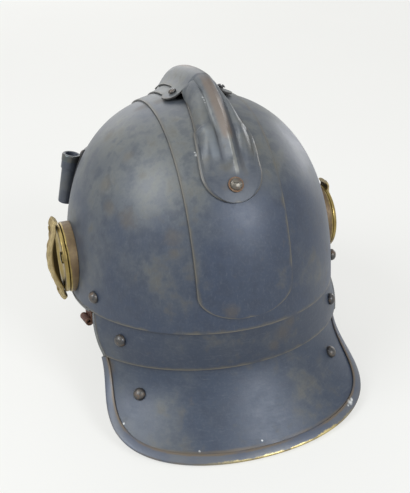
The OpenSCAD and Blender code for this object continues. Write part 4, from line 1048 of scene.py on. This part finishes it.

# %% [markdown]
# ## Rolled edges
#
# Beside the ears the bowl's lower edge and the ends of the upper lame are rolled into a thin bead, which
# stiffens the sheet. It shows as one light line from the boss down to the neck guard, and its paint is a
# paler grey than the rest: a painted highlight. Each is a small round section carried along its edge.


# %% Beads along the side edges
def beads(name, body, sheet, edge, s, inward, off, radius):
    """A round bead along an edge line and its mirror image, its centre inward and off the sheet."""
    turn = np.radians(np.linspace(0, 330, 12))
    from_end = np.minimum(np.arange(len(s)), np.arange(len(s))[::-1])
    size = radius * np.minimum(1, 0.5 + 2 * from_end / 3)
    rings = np.stack([edge_point(sheet, edge, s, inward + size * np.cos(t), off + size * np.sin(t))
                      for t in turn], 1)
    verts, faces = rings.reshape(-1, 3), ring_faces(*rings.shape[:2])
    mirrored = [[len(verts) + j for j in face[::-1]] for face in faces]
    plain_place = np.full((2 * len(verts), 2), 3.0)
    new_piece(name, np.concatenate([verts, verts * [-1, 1, 1]]), faces + mirrored, plain_place,
              body, "blue_paint", 60)


bowl_hem_angles, band_hem_heights = np.linspace(69.5, 113, 60), np.linspace(-25.9, -1.2, 30)
beads("bowl_hems", "helmet", bowl_at, lambda a: (a, 0 * a), bowl_hem_angles, -0.5, -0.6, 1.2)
beads("band_hems", "band", band_sheet, lambda z: (band_half(z), z), band_hem_heights,
      -0.6, -0.45, 1.15)

# %% [markdown]
# ## The plume socket
#
# A plume's stem drops into a short tube on the bowl's left side. The tube is turned from sheet, with
# a stepped band below a steel mouth ring, and stands on a curved bracket.

# %% Plume tube and mouth ring
socket_radius, socket_bore, socket_length = 5.7, 4.4, 37.0
socket_foot_height, socket_turn, socket_lean = 49.5, 117.0, 15.0
collar_length, step_length, socket_gap = 5.0, 11.0, 0.9
turn = np.radians(socket_turn)
socket_reach = np.hypot(bowl_half_width * np.sin(turn), bowl_half_length * np.cos(turn))
socket_way_angle = np.arctan2(bowl_half_length * np.cos(turn), bowl_half_width * np.sin(turn))
socket_out = (socket_reach * float(dome_share((socket_foot_height - widest_line) / dome_rise))
              + socket_radius + socket_gap)
outward = np.array([np.cos(socket_way_angle), np.sin(socket_way_angle), 0.0])
tilt = np.radians(socket_lean)
socket_foot = outward * socket_out + [0, 0, socket_foot_height]
socket_way = np.array([0, 0, np.cos(tilt)]) - outward * np.sin(tilt)
sr, sl = socket_radius, socket_length
tube_profile = [(0, 0), (sr - 1.2, 0), (sr - 0.5, 0.4), (sr - 0.3, 1.5), (sr, sl - step_length),
                (sr + 0.55, sl - step_length + 0.3), (sr + 0.7, sl - step_length + 0.6),
                (sr + 0.7, sl - collar_length - 0.25), (sr + 0.5, sl - collar_length),
                (sr - 0.4, sl - collar_length), (sr - 0.4, sl - 0.1), (socket_bore + 0.1, sl),
                (socket_bore, sl - 0.2), (socket_bore, 2.1), (0, 2.0)]
turned("plume_tube", tube_profile, [socket_foot], [socket_way], "helmet", "dark_paint", steps=64,
       smooth_angle=30)
cl = collar_length
collar_profile = [(sr - 0.3, 0), (sr + 0.75, 0), (sr + 0.9, 0.2), (sr + 0.9, cl - 1.2),
                  (sr + 0.8, cl - 0.7), (sr + 0.45, cl - 0.15), (sr + 0.2, cl), (sr - 0.3, cl),
                  (sr - 0.3, 0)]
turned("plume_collar", collar_profile, [socket_foot + socket_way * (sl - cl + 0.05)], [socket_way],
       "helmet", "grey_steel", steps=64, smooth_angle=30)

# %% Bracket rivets
bracket_wall = 1.2
bracket_low, bracket_high = socket_foot_height - 2, socket_foot_height + socket_length - 7
ends = [one(bowl_at(socket_turn, z)) for z in (bracket_low - 3, bracket_high + 5)]
ways = [bowl_normal(p) for p in ends]
turned("bracket_rivets", rivet_profile(bowl_wall + bracket_wall + 4 * seat, 2.6, 1.6, 1.5),
       shifted(ends, ways, seat + bracket_wall + 0.25), ways, "helmet", "iron_hardware", steps=28)

# %% [markdown]
# ## The liner
#
# Four felt pads hold a leather sweatband off the steel. Eight leather tongues rise from it and are
# drawn together under the crown by a lace, so that the helmet fits heads of several sizes. At each
# ear a leather tab is rolled up on itself; its end shows below the left side in the photograph.

# %% Sweatband, tongues and lace
leather, pad_room, band_bottom, band_height = 1.8, 7.0, 2.0, 34.0
band_out = -bowl_wall - pad_room


def sweatband_rows(off, cols=240):
    """Rows of the sweatband, its lower edge a little wavy from wear."""
    a = across(0, -360 * (1 - 1 / cols), cols)
    z = line(band_bottom, band_bottom + band_height, 18)
    low = 0.35 * np.sin(np.radians(5 * a + 40)) * (1 - (z - band_bottom) / band_height)
    return bowl_at(a, z + low, band_out + off)


plate("sweatband", sweatband_rows(0.0), sweatband_rows(-leather), slot="brown_leather", wrap=True)

lace_ring, crown_height = 24.0, widest_line + dome_rise
lace_height = crown_height - 30
tongue_count, tongue_foot, tongue_top = 8, 0.44, 0.26


def tongue_rows(centre, off):
    """Rows of one tongue from inside the sweatband up to the lace."""
    z0 = band_bottom + band_height * 0.45
    f = line(0, 1, 28)
    half = mix(360 / tongue_count * tongue_foot, 360 / tongue_count * tongue_top, f)
    a = centre - across(-1, 1, 13) * half
    p = bowl_at(a, z0 + 0 * a, band_out - leather - seat - off)
    r0 = np.hypot(p[..., 0], p[..., 1])
    w = np.radians(90 * f)
    reach = mix(lace_ring - 3, r0, np.cos(w))
    return points(reach * p[..., 0] / r0, reach * p[..., 1] / r0,
                  mix(z0, lace_height, np.sin(w)) - off * np.sin(w) + 0 * r0)


tongues = [sheet_mesh(tongue_rows(c, 0.0), tongue_rows(c, leather))
           for c in (np.arange(tongue_count) + 0.5) * 360 / tongue_count]
dressed("liner_tongues", joined(tongues), "helmet", "brown_leather", node="liner_crown")


def lace_mesh(radius=1.5, strands=3, twists=26, steps=420, sides=24):
    """A ring of twisted cord: its section has one swell for each strand and turns as it goes."""
    around = np.radians(np.linspace(0, 360, steps, endpoint=False))[:, None]
    turn = np.radians(np.linspace(0, 360, sides, endpoint=False))[None, :]
    r = radius * (0.93 + 0.07 * np.cos(strands * turn + twists * around))
    reach = lace_ring + r * np.cos(turn)
    z = lace_height - leather - seat - 0.15 - radius + r * np.sin(turn)
    grid = points(reach * np.cos(around), reach * np.sin(around), z)
    closed = np.concatenate([grid, grid[:1]])
    along = np.broadcast_to(line(0, 150, steps + 1), closed.shape[:2])
    flat = np.stack([0 * closed[..., 0], along], -1).reshape(-1, 2)
    return closed.reshape(-1, 3), grid_faces(steps + 1, sides, 0, True, False), flat


dressed("liner_lace", lace_mesh(), "helmet", "cord", 80)


# %% Felt pads
pad_half_angle, pad_bottom, pad_slack = 7.5, 12.0, 0.1
pad_places = (0.0, 105.0, 180.0, 255.0)


def pad_mesh(centre):
    """One pad between the bowl and the sweatband, its rims rounded over."""
    u, v = line(0, 1, 19), across(-1, 1, 25)
    a = centre - pad_half_angle * v
    z = mix(pad_bottom, band_bottom + band_height - 2, u)
    soft = (1 - np.abs(v) ** 8) ** (1 / 3) * (1 - np.abs(2 * u - 1) ** 8) ** (1 / 3)
    middle = (-bowl_wall - seat - pad_slack + band_out + seat) / 2
    half = (pad_room - 2 * seat - pad_slack) / 2
    return sheet_mesh(bowl_at(a, z, middle + half * (0.35 + 0.65 * soft)),
                      bowl_at(a, z, middle - half * (0.35 + 0.65 * soft)))


pads = dressed("liner_pads", joined([pad_mesh(c) for c in pad_places]), "helmet", "felt", 60)


# %% Rolled ear tabs
tab_angle, tab_half_width, tab_top, tab_roll_top = 80.0, 6.0, 12.0, -13.6


def tab_mesh(straight_steps=14, roll_steps=70):
    """A flat strap that curls up on itself into a roll at its lower end."""
    down = np.linspace(tab_top, tab_roll_top, straight_steps)
    straight = np.stack([0 * down, down], -1)
    turn = np.radians(np.linspace(0, -500, roll_steps))
    radius = np.linspace(2.55, 1.15, roll_steps)
    roll = np.stack([1.3 + 0 * turn, -15 + 0 * turn], -1) + np.stack(
        [-radius * np.cos(turn) + 1.25, radius * np.sin(turn)], -1)
    path = np.concatenate([straight, roll])
    d = unit(np.gradient(path, axis=0))
    side = np.stack([-d[:, 1], d[:, 0]], -1)
    half = np.concatenate([np.full(straight_steps, 0.9), np.full(roll_steps, 0.55)])[:, None]
    width = across(-tab_half_width, tab_half_width, 9)
    at = one(bowl_at(tab_angle, 0.0, band_out + seat + 1.2)) * [1, 1, 0]
    a = np.radians(10)
    right, back = np.array([np.cos(a), np.sin(a), 0]), np.array([-np.sin(a), np.cos(a), 0])

    def face(line_points):
        """Carries a line of points across the strap's width."""
        x, z = line_points[:, :1], line_points[:, 1:]
        return (at + x[..., None] * right + width[..., None] * back
                + z[..., None] * np.array([0, 0, 1.0]))

    return sheet_mesh(face(path - side * half), face(path + side * half))


tab = tab_mesh()
dressed("ear_tabs", joined([tab, flipped(tab)]), "helmet", "brown_leather", 50)

# %% [markdown]
# ## Finishes
#
# The helmet was painted blue-grey all over, straight on the steel, and has aged: rust has come
# through in blotches, edges have rubbed to brown, and the brass of the binding shows where hands
# have held it. Each finish is built from a few readable rules. A small class lets the rules be
# written as arithmetic, and each operation adds its node.


# %% Shader arithmetic
class Value:
    """A number, colour or direction inside a material. Arithmetic on it adds nodes."""

    def __init__(self, finish, socket, vector=False):
        self.finish, self.socket, self.vector = finish, socket, vector

    def _with(self, kind, *others):
        """A Math node, or a Vector Math node where a colour or direction takes part."""
        values = (self, *others)
        if any(isinstance(v, Value) and v.vector for v in values) or any(
                isinstance(v, tuple) for v in values):
            return self.finish.vector_math(kind, *values)
        return self.finish.math(kind, *values)

    def __add__(self, other):
        return self._with("ADD", other)

    def __sub__(self, other):
        return self._with("SUBTRACT", other)

    def __rsub__(self, other):
        return self.finish.math("SUBTRACT", other, self)

    def __mul__(self, other):
        return self._with("MULTIPLY", other)

    def __truediv__(self, other):
        return self._with("DIVIDE", other)

    __radd__, __rmul__ = __add__, __mul__

    def larger(self, other):
        """The larger of the two."""
        return self._with("MAXIMUM", other)

    def step(self, low, high):
        """A smooth step: 0 at low and 1 at high, which may be the smaller of the two."""
        return self.finish.node("MapRange", "Result", {"interpolation_type": "SMOOTHSTEP"}, {
            "Value": self, "From Min": low, "From Max": high})


def rgb(r, g, b):
    """A colour picked in 0 to 255 steps, as the linear values that shaders use."""
    c = np.array([r, g, b]) / 255
    return tuple(float(v) for v in np.where(c <= 0.04045, c / 12.92, ((c + 0.055) / 1.055) ** 2.4))


class Finish:
    """A material, or the sky, under construction."""

    def __init__(self, name, kind=bpy.data.materials):
        self.owner = kind.new(name)
        self.owner.use_nodes = True
        self.tree = self.owner.node_tree
        self.tree.nodes.clear()

    def node(self, kind, output, settings=None, inputs=None, vector=False):
        """Adds a shader node, sets it up, feeds its sockets and returns one output."""
        made = self.tree.nodes.new("ShaderNode" + kind)
        for key, value in (settings or {}).items():
            setattr(made, key, value)
        for key, value in (inputs or {}).items():
            socket = made.inputs[key]
            if isinstance(value, Value):
                self.tree.links.new(value.socket, socket)
            elif isinstance(value, tuple) and len(socket.default_value) == 4:
                socket.default_value = (*value, 1.0)
            else:
                socket.default_value = value
        return Value(self, made.outputs[output], vector)

    def math(self, kind, *values):
        """A Math node on numbers."""
        return self.node("Math", 0, {"operation": kind}, dict(enumerate(values)))

    def vector_math(self, kind, *values):
        """A Vector Math node on colours or directions."""
        out = "Value" if kind == "DISTANCE" else "Vector"
        filled = {k: (v, v, v) if isinstance(v, (int, float)) else v for k, v in enumerate(values)}
        return self.node("VectorMath", out, {"operation": kind}, filled, kind != "DISTANCE")

    def blend(self, share, a, b):
        """Colour a where share is 0 and b where it is 1."""
        return self.node("Mix", 2, {"data_type": "RGBA"}, {0: share, 6: a, 7: b}, True)

    def place(self):
        """Where a point lies on the object, in metres."""
        return self.node("TexCoord", "Object", vector=True)

    def axis(self, place, letter):
        """One coordinate of a place."""
        return self.node("SeparateXYZ", letter, None, {0: place})

    def from_edge(self):
        """How far a point lies from its plate's edge, in metres."""
        return self.axis(self.node("UVMap", "UV", {"uv_map": "edge"}, vector=True), "X")

    def grain(self, place, size, detail=3.0, roughness=0.55, stretch=None):
        """Cloudy noise around 0.5 whose features measure about size metres."""
        if stretch:
            place = self.vector_math("MULTIPLY", place, stretch)
        return self.node("TexNoise", "Fac", None, {"Vector": place, "Scale": 1 / size,
                                                   "Detail": detail, "Roughness": roughness})

    def near(self, place, spots, ragged):
        """1 near any of the spots (x, y, z, radius), with rims made ragged by a noise."""
        found = None
        for x, y, z, radius in spots:
            d = self.vector_math("DISTANCE", place, (x, y, z)) / radius + (ragged - 0.5) * 1.6
            spot = d.step(1.15, 0.15)
            found = spot if found is None else found.larger(spot)
        return found

    def looked_at(self):
        """1 for what the camera sees, also in metal or through glass, 0 for light on other things."""
        camera_ray, glossy, through = [self.node("LightPath", ray) for ray in (
            "Is Camera Ray", "Is Glossy Ray", "Is Transmission Ray")]
        return camera_ray + glossy + through

    def end(self, shader, output="OutputMaterial"):
        """Joins the last shader to the output."""
        out = self.tree.nodes.new("ShaderNode" + output)
        self.tree.links.new(shader.socket, out.inputs["Surface"])
        return self.owner

    def done(self, colour, roughness, metallic, height, depth, relief, specular=0.5):
        """Ends the finish in one glossy shader, with relief from a height of 0 to 1."""
        bump = self.node("Bump", "Normal", None, {
            "Strength": relief, "Distance": depth, "Height": height}, True)
        return self.end(self.node("BsdfPrincipled", "BSDF", None, {
            "Base Color": colour, "Roughness": roughness, "Metallic": metallic, "Normal": bump,
            "Specular IOR Level": specular}))


# %% Places that show their age
def stained(*spots):
    """Spots (x, y, z, radius) on the standing helmet in millimetres, as metres."""
    return [tuple(v / 1000 for v in spot) for spot in spots]


rust_spots = stained(
    (30, -3, 183, 7), (55, 4, 168, 6), (65, 34, 149, 7), (65, 47, 138, 6), (50, 36, 165, 5),
    (57, 60, 136, 8), (36, 83, 130, 7), (37, 86, 122, 5), (8, 105, 89, 6), (20, 1, 187, 7))
band_stains = stained((-26, 102, 63, 8), (-31, 100, 69, 6), (-20, 104, 57, 5), (77, 62, 34, 6))
bowl_chips = stained((15, 62.2, 170.6, 1.2), (15.2, 60.5, 171.5, 0.7))
guard_chips = stained((76, 94, 13, 0.8), (37, 126, 7, 0.8), (-1.5, 131, 8, 0.7), (20, 129, 7, 0.4))
rim_chips = stained((-69.5, 116, 7, 2.2), (-71.5, 114.5, 7.5, 1.5), (-67, 118, 6.5, 1.0),
                    (0, 134, 4, 0.8))
crest_chips = stained((0.6, 33, 195.6, 0.9), (0.7, 35.5, 194.6, 0.7), (0.8, 37.5, 193.6, 0.7),
                      (0.4, 30, 197, 0.5))
crest_stains = stained((-3, 86, 157, 5), (-9, 82, 159, 4), (3, 83, 158, 4))
# Lines along the crest: how far from the middle, half width, from and to which height, all in millimetres,
# then strength and colour. The two dark lines are painted shade in the grooves beside the fin, the three
# pale ones are painted highlights on the fin and the lobes, and the wide brown one is rubbed paint.
crest_shade_highlight_and_wear_lines = (
    (-5.6, 4.6, 206, 177, 0.75, rgb(104, 88, 74)), (-5.4, 1.5, 183, 160, 0.6, rgb(146, 146, 140)),
    (-9.6, 1.9, 200, 161, 0.5, rgb(50, 51, 58)), (0.4, 1.5, 199, 183, 0.45, rgb(140, 142, 142)),
    (0.3, 1.7, 184, 166, 0.5, rgb(54, 58, 66)), (4.6, 3.4, 186, 168, 0.35, rgb(132, 140, 148)))


# %% Blue-grey paint over steel
def painted_steel(name, paint, wear=1.0, stains=(), chips=(), high=(0.1, 0.19), hem=False,
                  shade_highlight_and_wear_lines=(), stroke=(0.12, 0.12, 1.0)):
    """Old satin paint: paler grey above and on the wearer's left, which is dust in part and painted light
    in part; blotched with rust, rubbed brown along its edges, chipped; its cut edges nearly black as
    painted shade; and the lines given, painted in as painted shade, painted highlights and rubbed paint.
    """
    f = Finish(name)
    place = f.place()
    x, z, far = f.axis(place, "X"), f.axis(place, "Z"), f.from_edge()
    broad, fine, dust = f.grain(place, 0.04, 5), f.grain(place, 0.008, 5), f.grain(place, 0.0015, 2)
    streak = f.grain(place, 0.0011, 3, 0.6, stroke)
    patch = f.grain(place + (0.7, 0.2, 0.1), 0.02, 2)
    grey, deep, brown, rust = rgb(98, 101, 99), rgb(34, 44, 62), rgb(80, 76, 66), rgb(94, 83, 64)
    # Paler grey towards the top and towards the wearer's left: dust there in part, and in part painted
    # light where the lamps fall.
    share = (z.step(*high) * 0.6 + x.step(0.0, 0.09) * 0.3 + (broad - 0.5) * 1.7).step(-0.05, 0.95)
    colour = f.blend(share, paint, grey)
    colour = f.blend(fine.step(0.56, 0.36) * 0.45, colour, deep)
    colour = f.blend((fine * 0.5 + broad * 0.5).step(0.52, 0.68) * 0.5, colour, brown)
    colour = f.blend(streak.step(0.54, 0.76) * 0.12, colour, rgb(116, 120, 122))
    colour = f.blend(streak.step(0.5, 0.3) * 0.16, colour, deep)
    colour = f.blend(dust.step(0.5, 0.66) * 0.07, colour, rgb(106, 110, 112))
    blotch = f.grain(place + (0.31, 0.12, 0.5), 0.018, 5, 0.65).step(0.62, 0.78) * 0.5
    if stains:
        blotch = blotch.larger(f.near(place, stains, fine) * 0.45)
    colour = f.blend(blotch * (0.45 + 0.55 * dust), colour, rust)
    # Painted shade and painted highlights along the crest's grooves and ridges, and one line of rubbed
    # paint.
    for middle, reach, top, foot, strength, tint in shade_highlight_and_wear_lines:
        beside = x - middle / 1000 + (fine - 0.5) * 0.0016
        band = (beside * beside).step((reach / 1000) ** 2, (reach / 2500) ** 2)
        ends = z.step(top / 1000, (top - 4) / 1000) * z.step(foot / 1000, (foot + 4) / 1000)
        colour = f.blend(band * ends * strength, colour, tint)
    rub = (far + (fine - 0.5) * 0.005).step(0.0026, 0.0006) * patch.step(0.3, 0.5) * wear
    colour = f.blend(rub * 0.6, colour, brown)
    if hem:
        fold = (far + (fine - 0.5) * 0.0012 - 0.0062).step(0.0018, 0.0) * patch.step(0.3, 0.55)
        colour = f.blend(fold * 0.7, colour, rgb(92, 80, 62))
    pale_line = (far + (fine - 0.5) * 0.0012).step(0.0011, 0.0004) * patch.step(0.34, 0.5) * wear
    colour = f.blend(pale_line * 0.5, colour, rgb(108, 102, 90))
    # Cut edges and walls of each plate nearly black: painted shade for the dark line under each lapped
    # edge.
    colour = f.blend(far.step(0.00016, 0.00004) * 0.85, colour, rgb(38, 38, 40))
    if chips:
        colour = f.blend(f.near(place, chips, dust) * 0.9, colour, rgb(206, 208, 206))
    rough = 0.47 + (fine - 0.5) * 0.2 + (streak - 0.5) * 0.16 + blotch * 0.22
    height = fine * 0.5 + dust * 0.16 + blotch * 0.3 + broad + streak * 0.05
    return f.done(colour, rough, 0.15, height, 0.00035, 0.5, specular=0.7)


paint = rgb(42, 54, 74)
finishes = {
    "blue_paint": painted_steel("blue_grey_paint", paint, stains=rust_spots, chips=bowl_chips,
                                stroke=(1.0, 1.0, 0.14)),
    "blue_paint_band": painted_steel("blue_grey_paint_band", rgb(39, 50, 68), stains=band_stains),
    "blue_paint_guard": painted_steel("blue_grey_paint_guard", rgb(42, 54, 72), 0.7,
                                      band_stains[-1:], guard_chips, hem=True),
    "blue_paint_crest": painted_steel("blue_grey_paint_crest", rgb(66, 72, 82), 0.8, crest_stains,
                                      crest_chips, (0.15, 0.2), shade_highlight_and_wear_lines=crest_shade_highlight_and_wear_lines),
    "dark_paint": painted_steel("dark_blue_paint", rgb(42, 51, 70), 0.4, high=(0.2, 0.4)),
    # A paler grey for the rolled beads: a painted highlight along them.
    "hem_highlight_paint": painted_steel("hem_highlight_paint", rgb(94, 96, 94), 0.0, high=(0.3, 0.5)),
}


# %% Brass, iron and steel
def old_brass(name, tarnish_share, dark=rgb(74, 62, 46), bright=rgb(158, 140, 88), sides=False):
    """Brass that has dulled to brown and kept its colour where it is rubbed."""
    f = Finish(name)
    place = f.place()
    far = f.from_edge()
    cloud, fine = f.grain(place, 0.009, 4), f.grain(place, 0.0018, 4)
    tarnish = (cloud * 0.6 + fine * 0.4).step(0.66 - tarnish_share, 0.84 - tarnish_share)
    if sides:
        flank = (far + (fine - 0.5) * 0.0012).step(0.0006, 0.0013)
        tarnish = tarnish * (1 - flank) + (0.75 + 0.5 * (fine - 0.5)) * flank
    colour = f.blend(cloud.step(0.35, 0.7), bright, rgb(134, 116, 68))
    colour = f.blend(tarnish * 0.92, colour, dark)
    metallic, rough = 0.9 - tarnish * 0.6, 0.3 + tarnish * 0.25 + (fine - 0.5) * 0.15
    return f.done(colour, rough, metallic, fine * 0.6 + cloud, 0.0002, 0.5)


def painted_binding():
    """The brass edging: painted like the plates, brown along its fold, bare under the right rim."""
    f = Finish("painted_brass_binding")
    place = f.place()
    x, z, far = f.axis(place, "X"), f.axis(place, "Z"), f.from_edge()
    broad, cloud, fine = f.grain(place, 0.03, 3), f.grain(place, 0.01, 4), f.grain(place, 0.0018, 4)
    brass = f.blend(cloud.step(0.35, 0.7), rgb(186, 170, 118), rgb(146, 130, 84))
    brass = f.blend(fine.step(0.55, 0.75) * 0.6, brass, rgb(92, 78, 52))
    rim = x.step(0.05, 0.0) * x.step(-0.076, -0.05) * z.step(0.014, 0.007)
    bare = (far + (fine - 0.5) * 0.002 + (cloud - 0.5) * 0.003).step(0.0009, -0.0003) * rim
    skin = f.blend(broad.step(0.35, 0.66), rgb(66, 74, 90), rgb(86, 90, 96))
    skin = f.blend(fine.step(0.58, 0.78) * 0.5, skin, rgb(92, 84, 74))
    fold = (far + (fine - 0.5) * 0.0012).step(0.0036, 0.0048) * broad.step(0.28, 0.5)
    skin = f.blend(fold * 0.75, skin, rgb(98, 82, 58))
    edge = (far + (fine - 0.5) * 0.001).step(0.0002, -0.0006) * cloud.step(0.4, 0.6)
    skin = f.blend(edge * 0.5, skin, rgb(104, 92, 72))
    skin = f.blend(f.near(place, rim_chips, fine) * 0.9, skin, rgb(214, 216, 214))
    colour = f.blend(bare, skin, brass)
    return f.done(colour, 0.46 - bare * 0.14, 0.15 + bare * 0.7, fine * 0.6 + cloud, 0.0002, 0.5,
                  specular=0.8)


def dark_iron(name, base, rust_share, rust=rgb(92, 70, 52), metallic=0.6):
    """Iron with thin old paint and brown rust in its pores."""
    f = Finish(name)
    place = f.place()
    cloud, fine = f.grain(place, 0.004, 4), f.grain(place, 0.0011, 3)
    colour = f.blend(cloud.step(0.3, 0.7), base, rgb(88, 86, 82))
    rusty = (cloud * 0.6 + fine * 0.4).step(0.66 - rust_share, 0.8 - rust_share)
    colour = f.blend(rusty * 0.85, colour, rust)
    return f.done(colour, 0.36 + rusty * 0.3, metallic * (1 - rusty * 0.7), fine + cloud, 0.00015, 0.6,
                  specular=0.7)


finishes["old_brass"] = old_brass("old_brass", 0.12)
finishes["ring_brass"] = old_brass("ring_brass", 0.12, rgb(78, 58, 54), sides=True)
finishes["painted_binding"] = painted_binding()
finishes["iron_hardware"] = dark_iron("dark_iron", rgb(58, 58, 62), 0.15)
finishes["screw_iron"] = dark_iron("screw_iron", rgb(112, 106, 96), 0.15)
finishes["rusty_washer"] = dark_iron("rusty_washer", rgb(104, 84, 62), 0.3, rgb(114, 80, 50), 0.3)
finishes["grey_steel"] = dark_iron("greenish_steel", rgb(78, 86, 88), 0.0)


# %% Leather, felt and cord
def leather_finish(name, top, dark, cut_edge):
    """Leather: pores and creases, dirt in the hollows, a paler cut edge, and painted shade on the inner
    face of a loop.
    """
    f = Finish(name)
    place = f.place()
    far = f.from_edge()
    cloud, crease = f.grain(place, 0.014, 4), f.grain(place, 0.003, 4, 0.6, (1, 0.5, 1.6))
    pore = f.node("TexVoronoi", "Distance", {"feature": "DISTANCE_TO_EDGE"}, {
        "Vector": place, "Scale": 1100.0})
    colour = f.blend(cloud.step(0.35, 0.68), top, dark)
    colour = f.blend(crease.step(0.5, 0.72) * 0.7, colour, dark)
    colour = f.blend((far + (crease - 0.5) * 0.001).step(0.0013, 0.0003) * 0.7, colour, cut_edge)
    # Where the edge place is negative, on the inner face of a loop, the colour goes nearly black-brown:
    # painted shade.
    colour = f.blend(far.step(-0.0003, -0.0016) * 0.85, colour, rgb(42, 32, 24))
    height = pore.step(0.0, 0.2) * 0.5 + crease * 1.2 + cloud
    return f.done(colour, 0.62 + (crease - 0.5) * 0.2, 0.0, height, 0.00025, 0.8)


def fibre_finish(name, top, dark, size, depth):
    """Felt or cord: short matted fibres."""
    f = Finish(name)
    place = f.place()
    hair, lump = f.grain(place, size, 4, 0.7, (1, 1, 2.5)), f.grain(place, size * 7, 3)
    colour = f.blend((hair * 0.6 + lump * 0.4).step(0.35, 0.65), dark, top)
    return f.done(colour, 0.9, 0.0, hair + lump, depth, 1.0, specular=0.2)


finishes["buff_leather"] = leather_finish("buff_leather", rgb(164, 144, 98), rgb(112, 94, 58),
                                          rgb(184, 166, 122))
finishes["brown_leather"] = leather_finish("brown_leather", rgb(88, 54, 42), rgb(54, 36, 28),
                                           rgb(118, 82, 60))
finishes["felt"] = fibre_finish("grey_felt", rgb(142, 134, 120), rgb(104, 96, 84), 0.0012, 0.0005)
finishes["cord"] = fibre_finish("brown_cord", rgb(98, 78, 62), rgb(58, 46, 38), 0.0006, 0.0003)

# %% Give each piece its finish
wearing = {
    "blue_paint": ["bowl", "crown_strip", "peak"],
    "blue_paint_band": ["neck_band"],
    "blue_paint_guard": ["neck_guard"],
    "blue_paint_crest": ["crest_comb", "crest_tail"],
    "hem_highlight_paint": ["bowl_hems", "band_hems"],
    "dark_paint": ["plume_tube", "plume_bracket"],
    "painted_binding": ["guard_binding", "peak_binding"],
    "old_brass": ["boss_disc_left", "boss_disc_right", "boss_stud_left", "boss_stud_right",
                  "loop_pins_left", "loop_pins_right"],
    "ring_brass": ["boss_ring_left", "boss_ring_right"],
    "iron_hardware": ["band_rivets", "guard_rivets", "strap_rivets", "peak_rivets",
                      "bracket_rivets", "tail_nut", "boss_nuts", "ear_screws"],
    "screw_iron": ["tail_screw", "nose_screw"],
    "rusty_washer": ["tail_washer"],
    "grey_steel": ["plume_collar"],
    "buff_leather": ["loop_left", "loop_right"],
    "brown_leather": ["sweatband", "liner_tongues", "ear_tabs", "stop_straps"],
    "felt": ["liner_pads"],
    "cord": ["liner_lace"],
}
kept_nodes = {"plume_bracket", "tail_nut", "boss_nuts", "stop_straps"}
for finish_name, pieces in wearing.items():
    for name in pieces:
        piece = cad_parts[name] if name in kept_nodes else made_pieces[name]
        piece.data.materials.clear()
        piece.data.materials.append(finishes[finish_name])
print(len(finishes), "finishes on", sum(map(len, wearing.values())), "pieces")

# %% [markdown]
# ## Table and light
#
# The helmet stood on a pale sheet with a window on each side of the camera. Two soft lamps stand
# for the windows and draw the round highlights on the bowl and the neck guard. A wide lamp above,
# one behind and one at the right draw the thin bright rims. The table and the sky are as pale as in
# the photograph only where they are looked at, straight or in metal, so that they put no more light
# on the paint. The table mixes a matt sheet, which keeps the shadow, with light of its own.

# %% Floor
table = Finish("pale_table")
pale = table.blend(table.grain(table.place(), 0.5, 2), rgb(245, 245, 242), rgb(243, 243, 240))
own_light = 0.7
table.end(table.node("MixShader", "Shader", None, {
    0: table.looked_at() * own_light,
    1: table.node("BsdfDiffuse", "BSDF", None, {"Color": pale}),
    2: table.node("Emission", "Emission", None, {"Color": pale})}))
floor_mesh = bpy.data.meshes.new("table")
reach = np.linspace(-4, 4, 9)
floor_mesh.from_pydata(points(reach[:, None], reach, 0).reshape(-1, 3).tolist(), [],
                       grid_faces(9, 9, 0, False, False).tolist())
floor = bpy.data.objects.new("table", floor_mesh)
bpy.context.scene.collection.objects.link(floor)
floor_mesh.materials.append(table.owner)


# %% Lamps and sky
bowl_middle = np.array([0.0, 0.0, 0.1])


def lamp(name, right, up, back, size, power, tint=(1.0, 1.0, 1.0)):
    """A square soft lamp, placed from the camera's point of view in metres, aimed at the bowl."""
    data = bpy.data.lights.new(name, "AREA")
    data.size, data.energy, data.color = size, power, tint
    made = bpy.data.objects.new(name, data)
    bpy.context.scene.collection.objects.link(made)
    away = camera_turn @ np.array([right, up, back])
    aim(made, np.column_stack(frame_of(away)), bowl_middle + away)


def plain_share(share, distance):
    """Watts that give a surface facing the lamp this share of the plain level."""
    return share * np.pi**2 * distance**2


lamp("top_light", -0.5, 2.6, 0.2, 2.6, plain_share(0.16, 2.65))
lamp("left_window", -1.32, 0.8, 1.28, 1.1, plain_share(0.66, 2.0), (0.95, 0.98, 1.0))
lamp("right_window", 1.14, 0.3, 1.6, 0.66, plain_share(0.52, 2.0), (0.94, 0.97, 1.0))
lamp("rear_light", -0.7, 1.8, -1.4, 1.8, plain_share(0.26, 2.4))
lamp("side_light", 1.75, 1.1, -1.9, 1.3, plain_share(0.3, 2.8))

sky = Finish("studio", bpy.data.worlds)
sky_light, sky_pale = 0.26, 0.8
sky.end(sky.node("Background", "Background", None, {
    "Color": (0.98, 0.99, 1.0),
    "Strength": sky_light + sky.looked_at() * (sky_pale - sky_light)}), "OutputWorld")
bpy.context.scene.world = sky.owner
bpy.context.scene.view_settings.view_transform = "Standard"
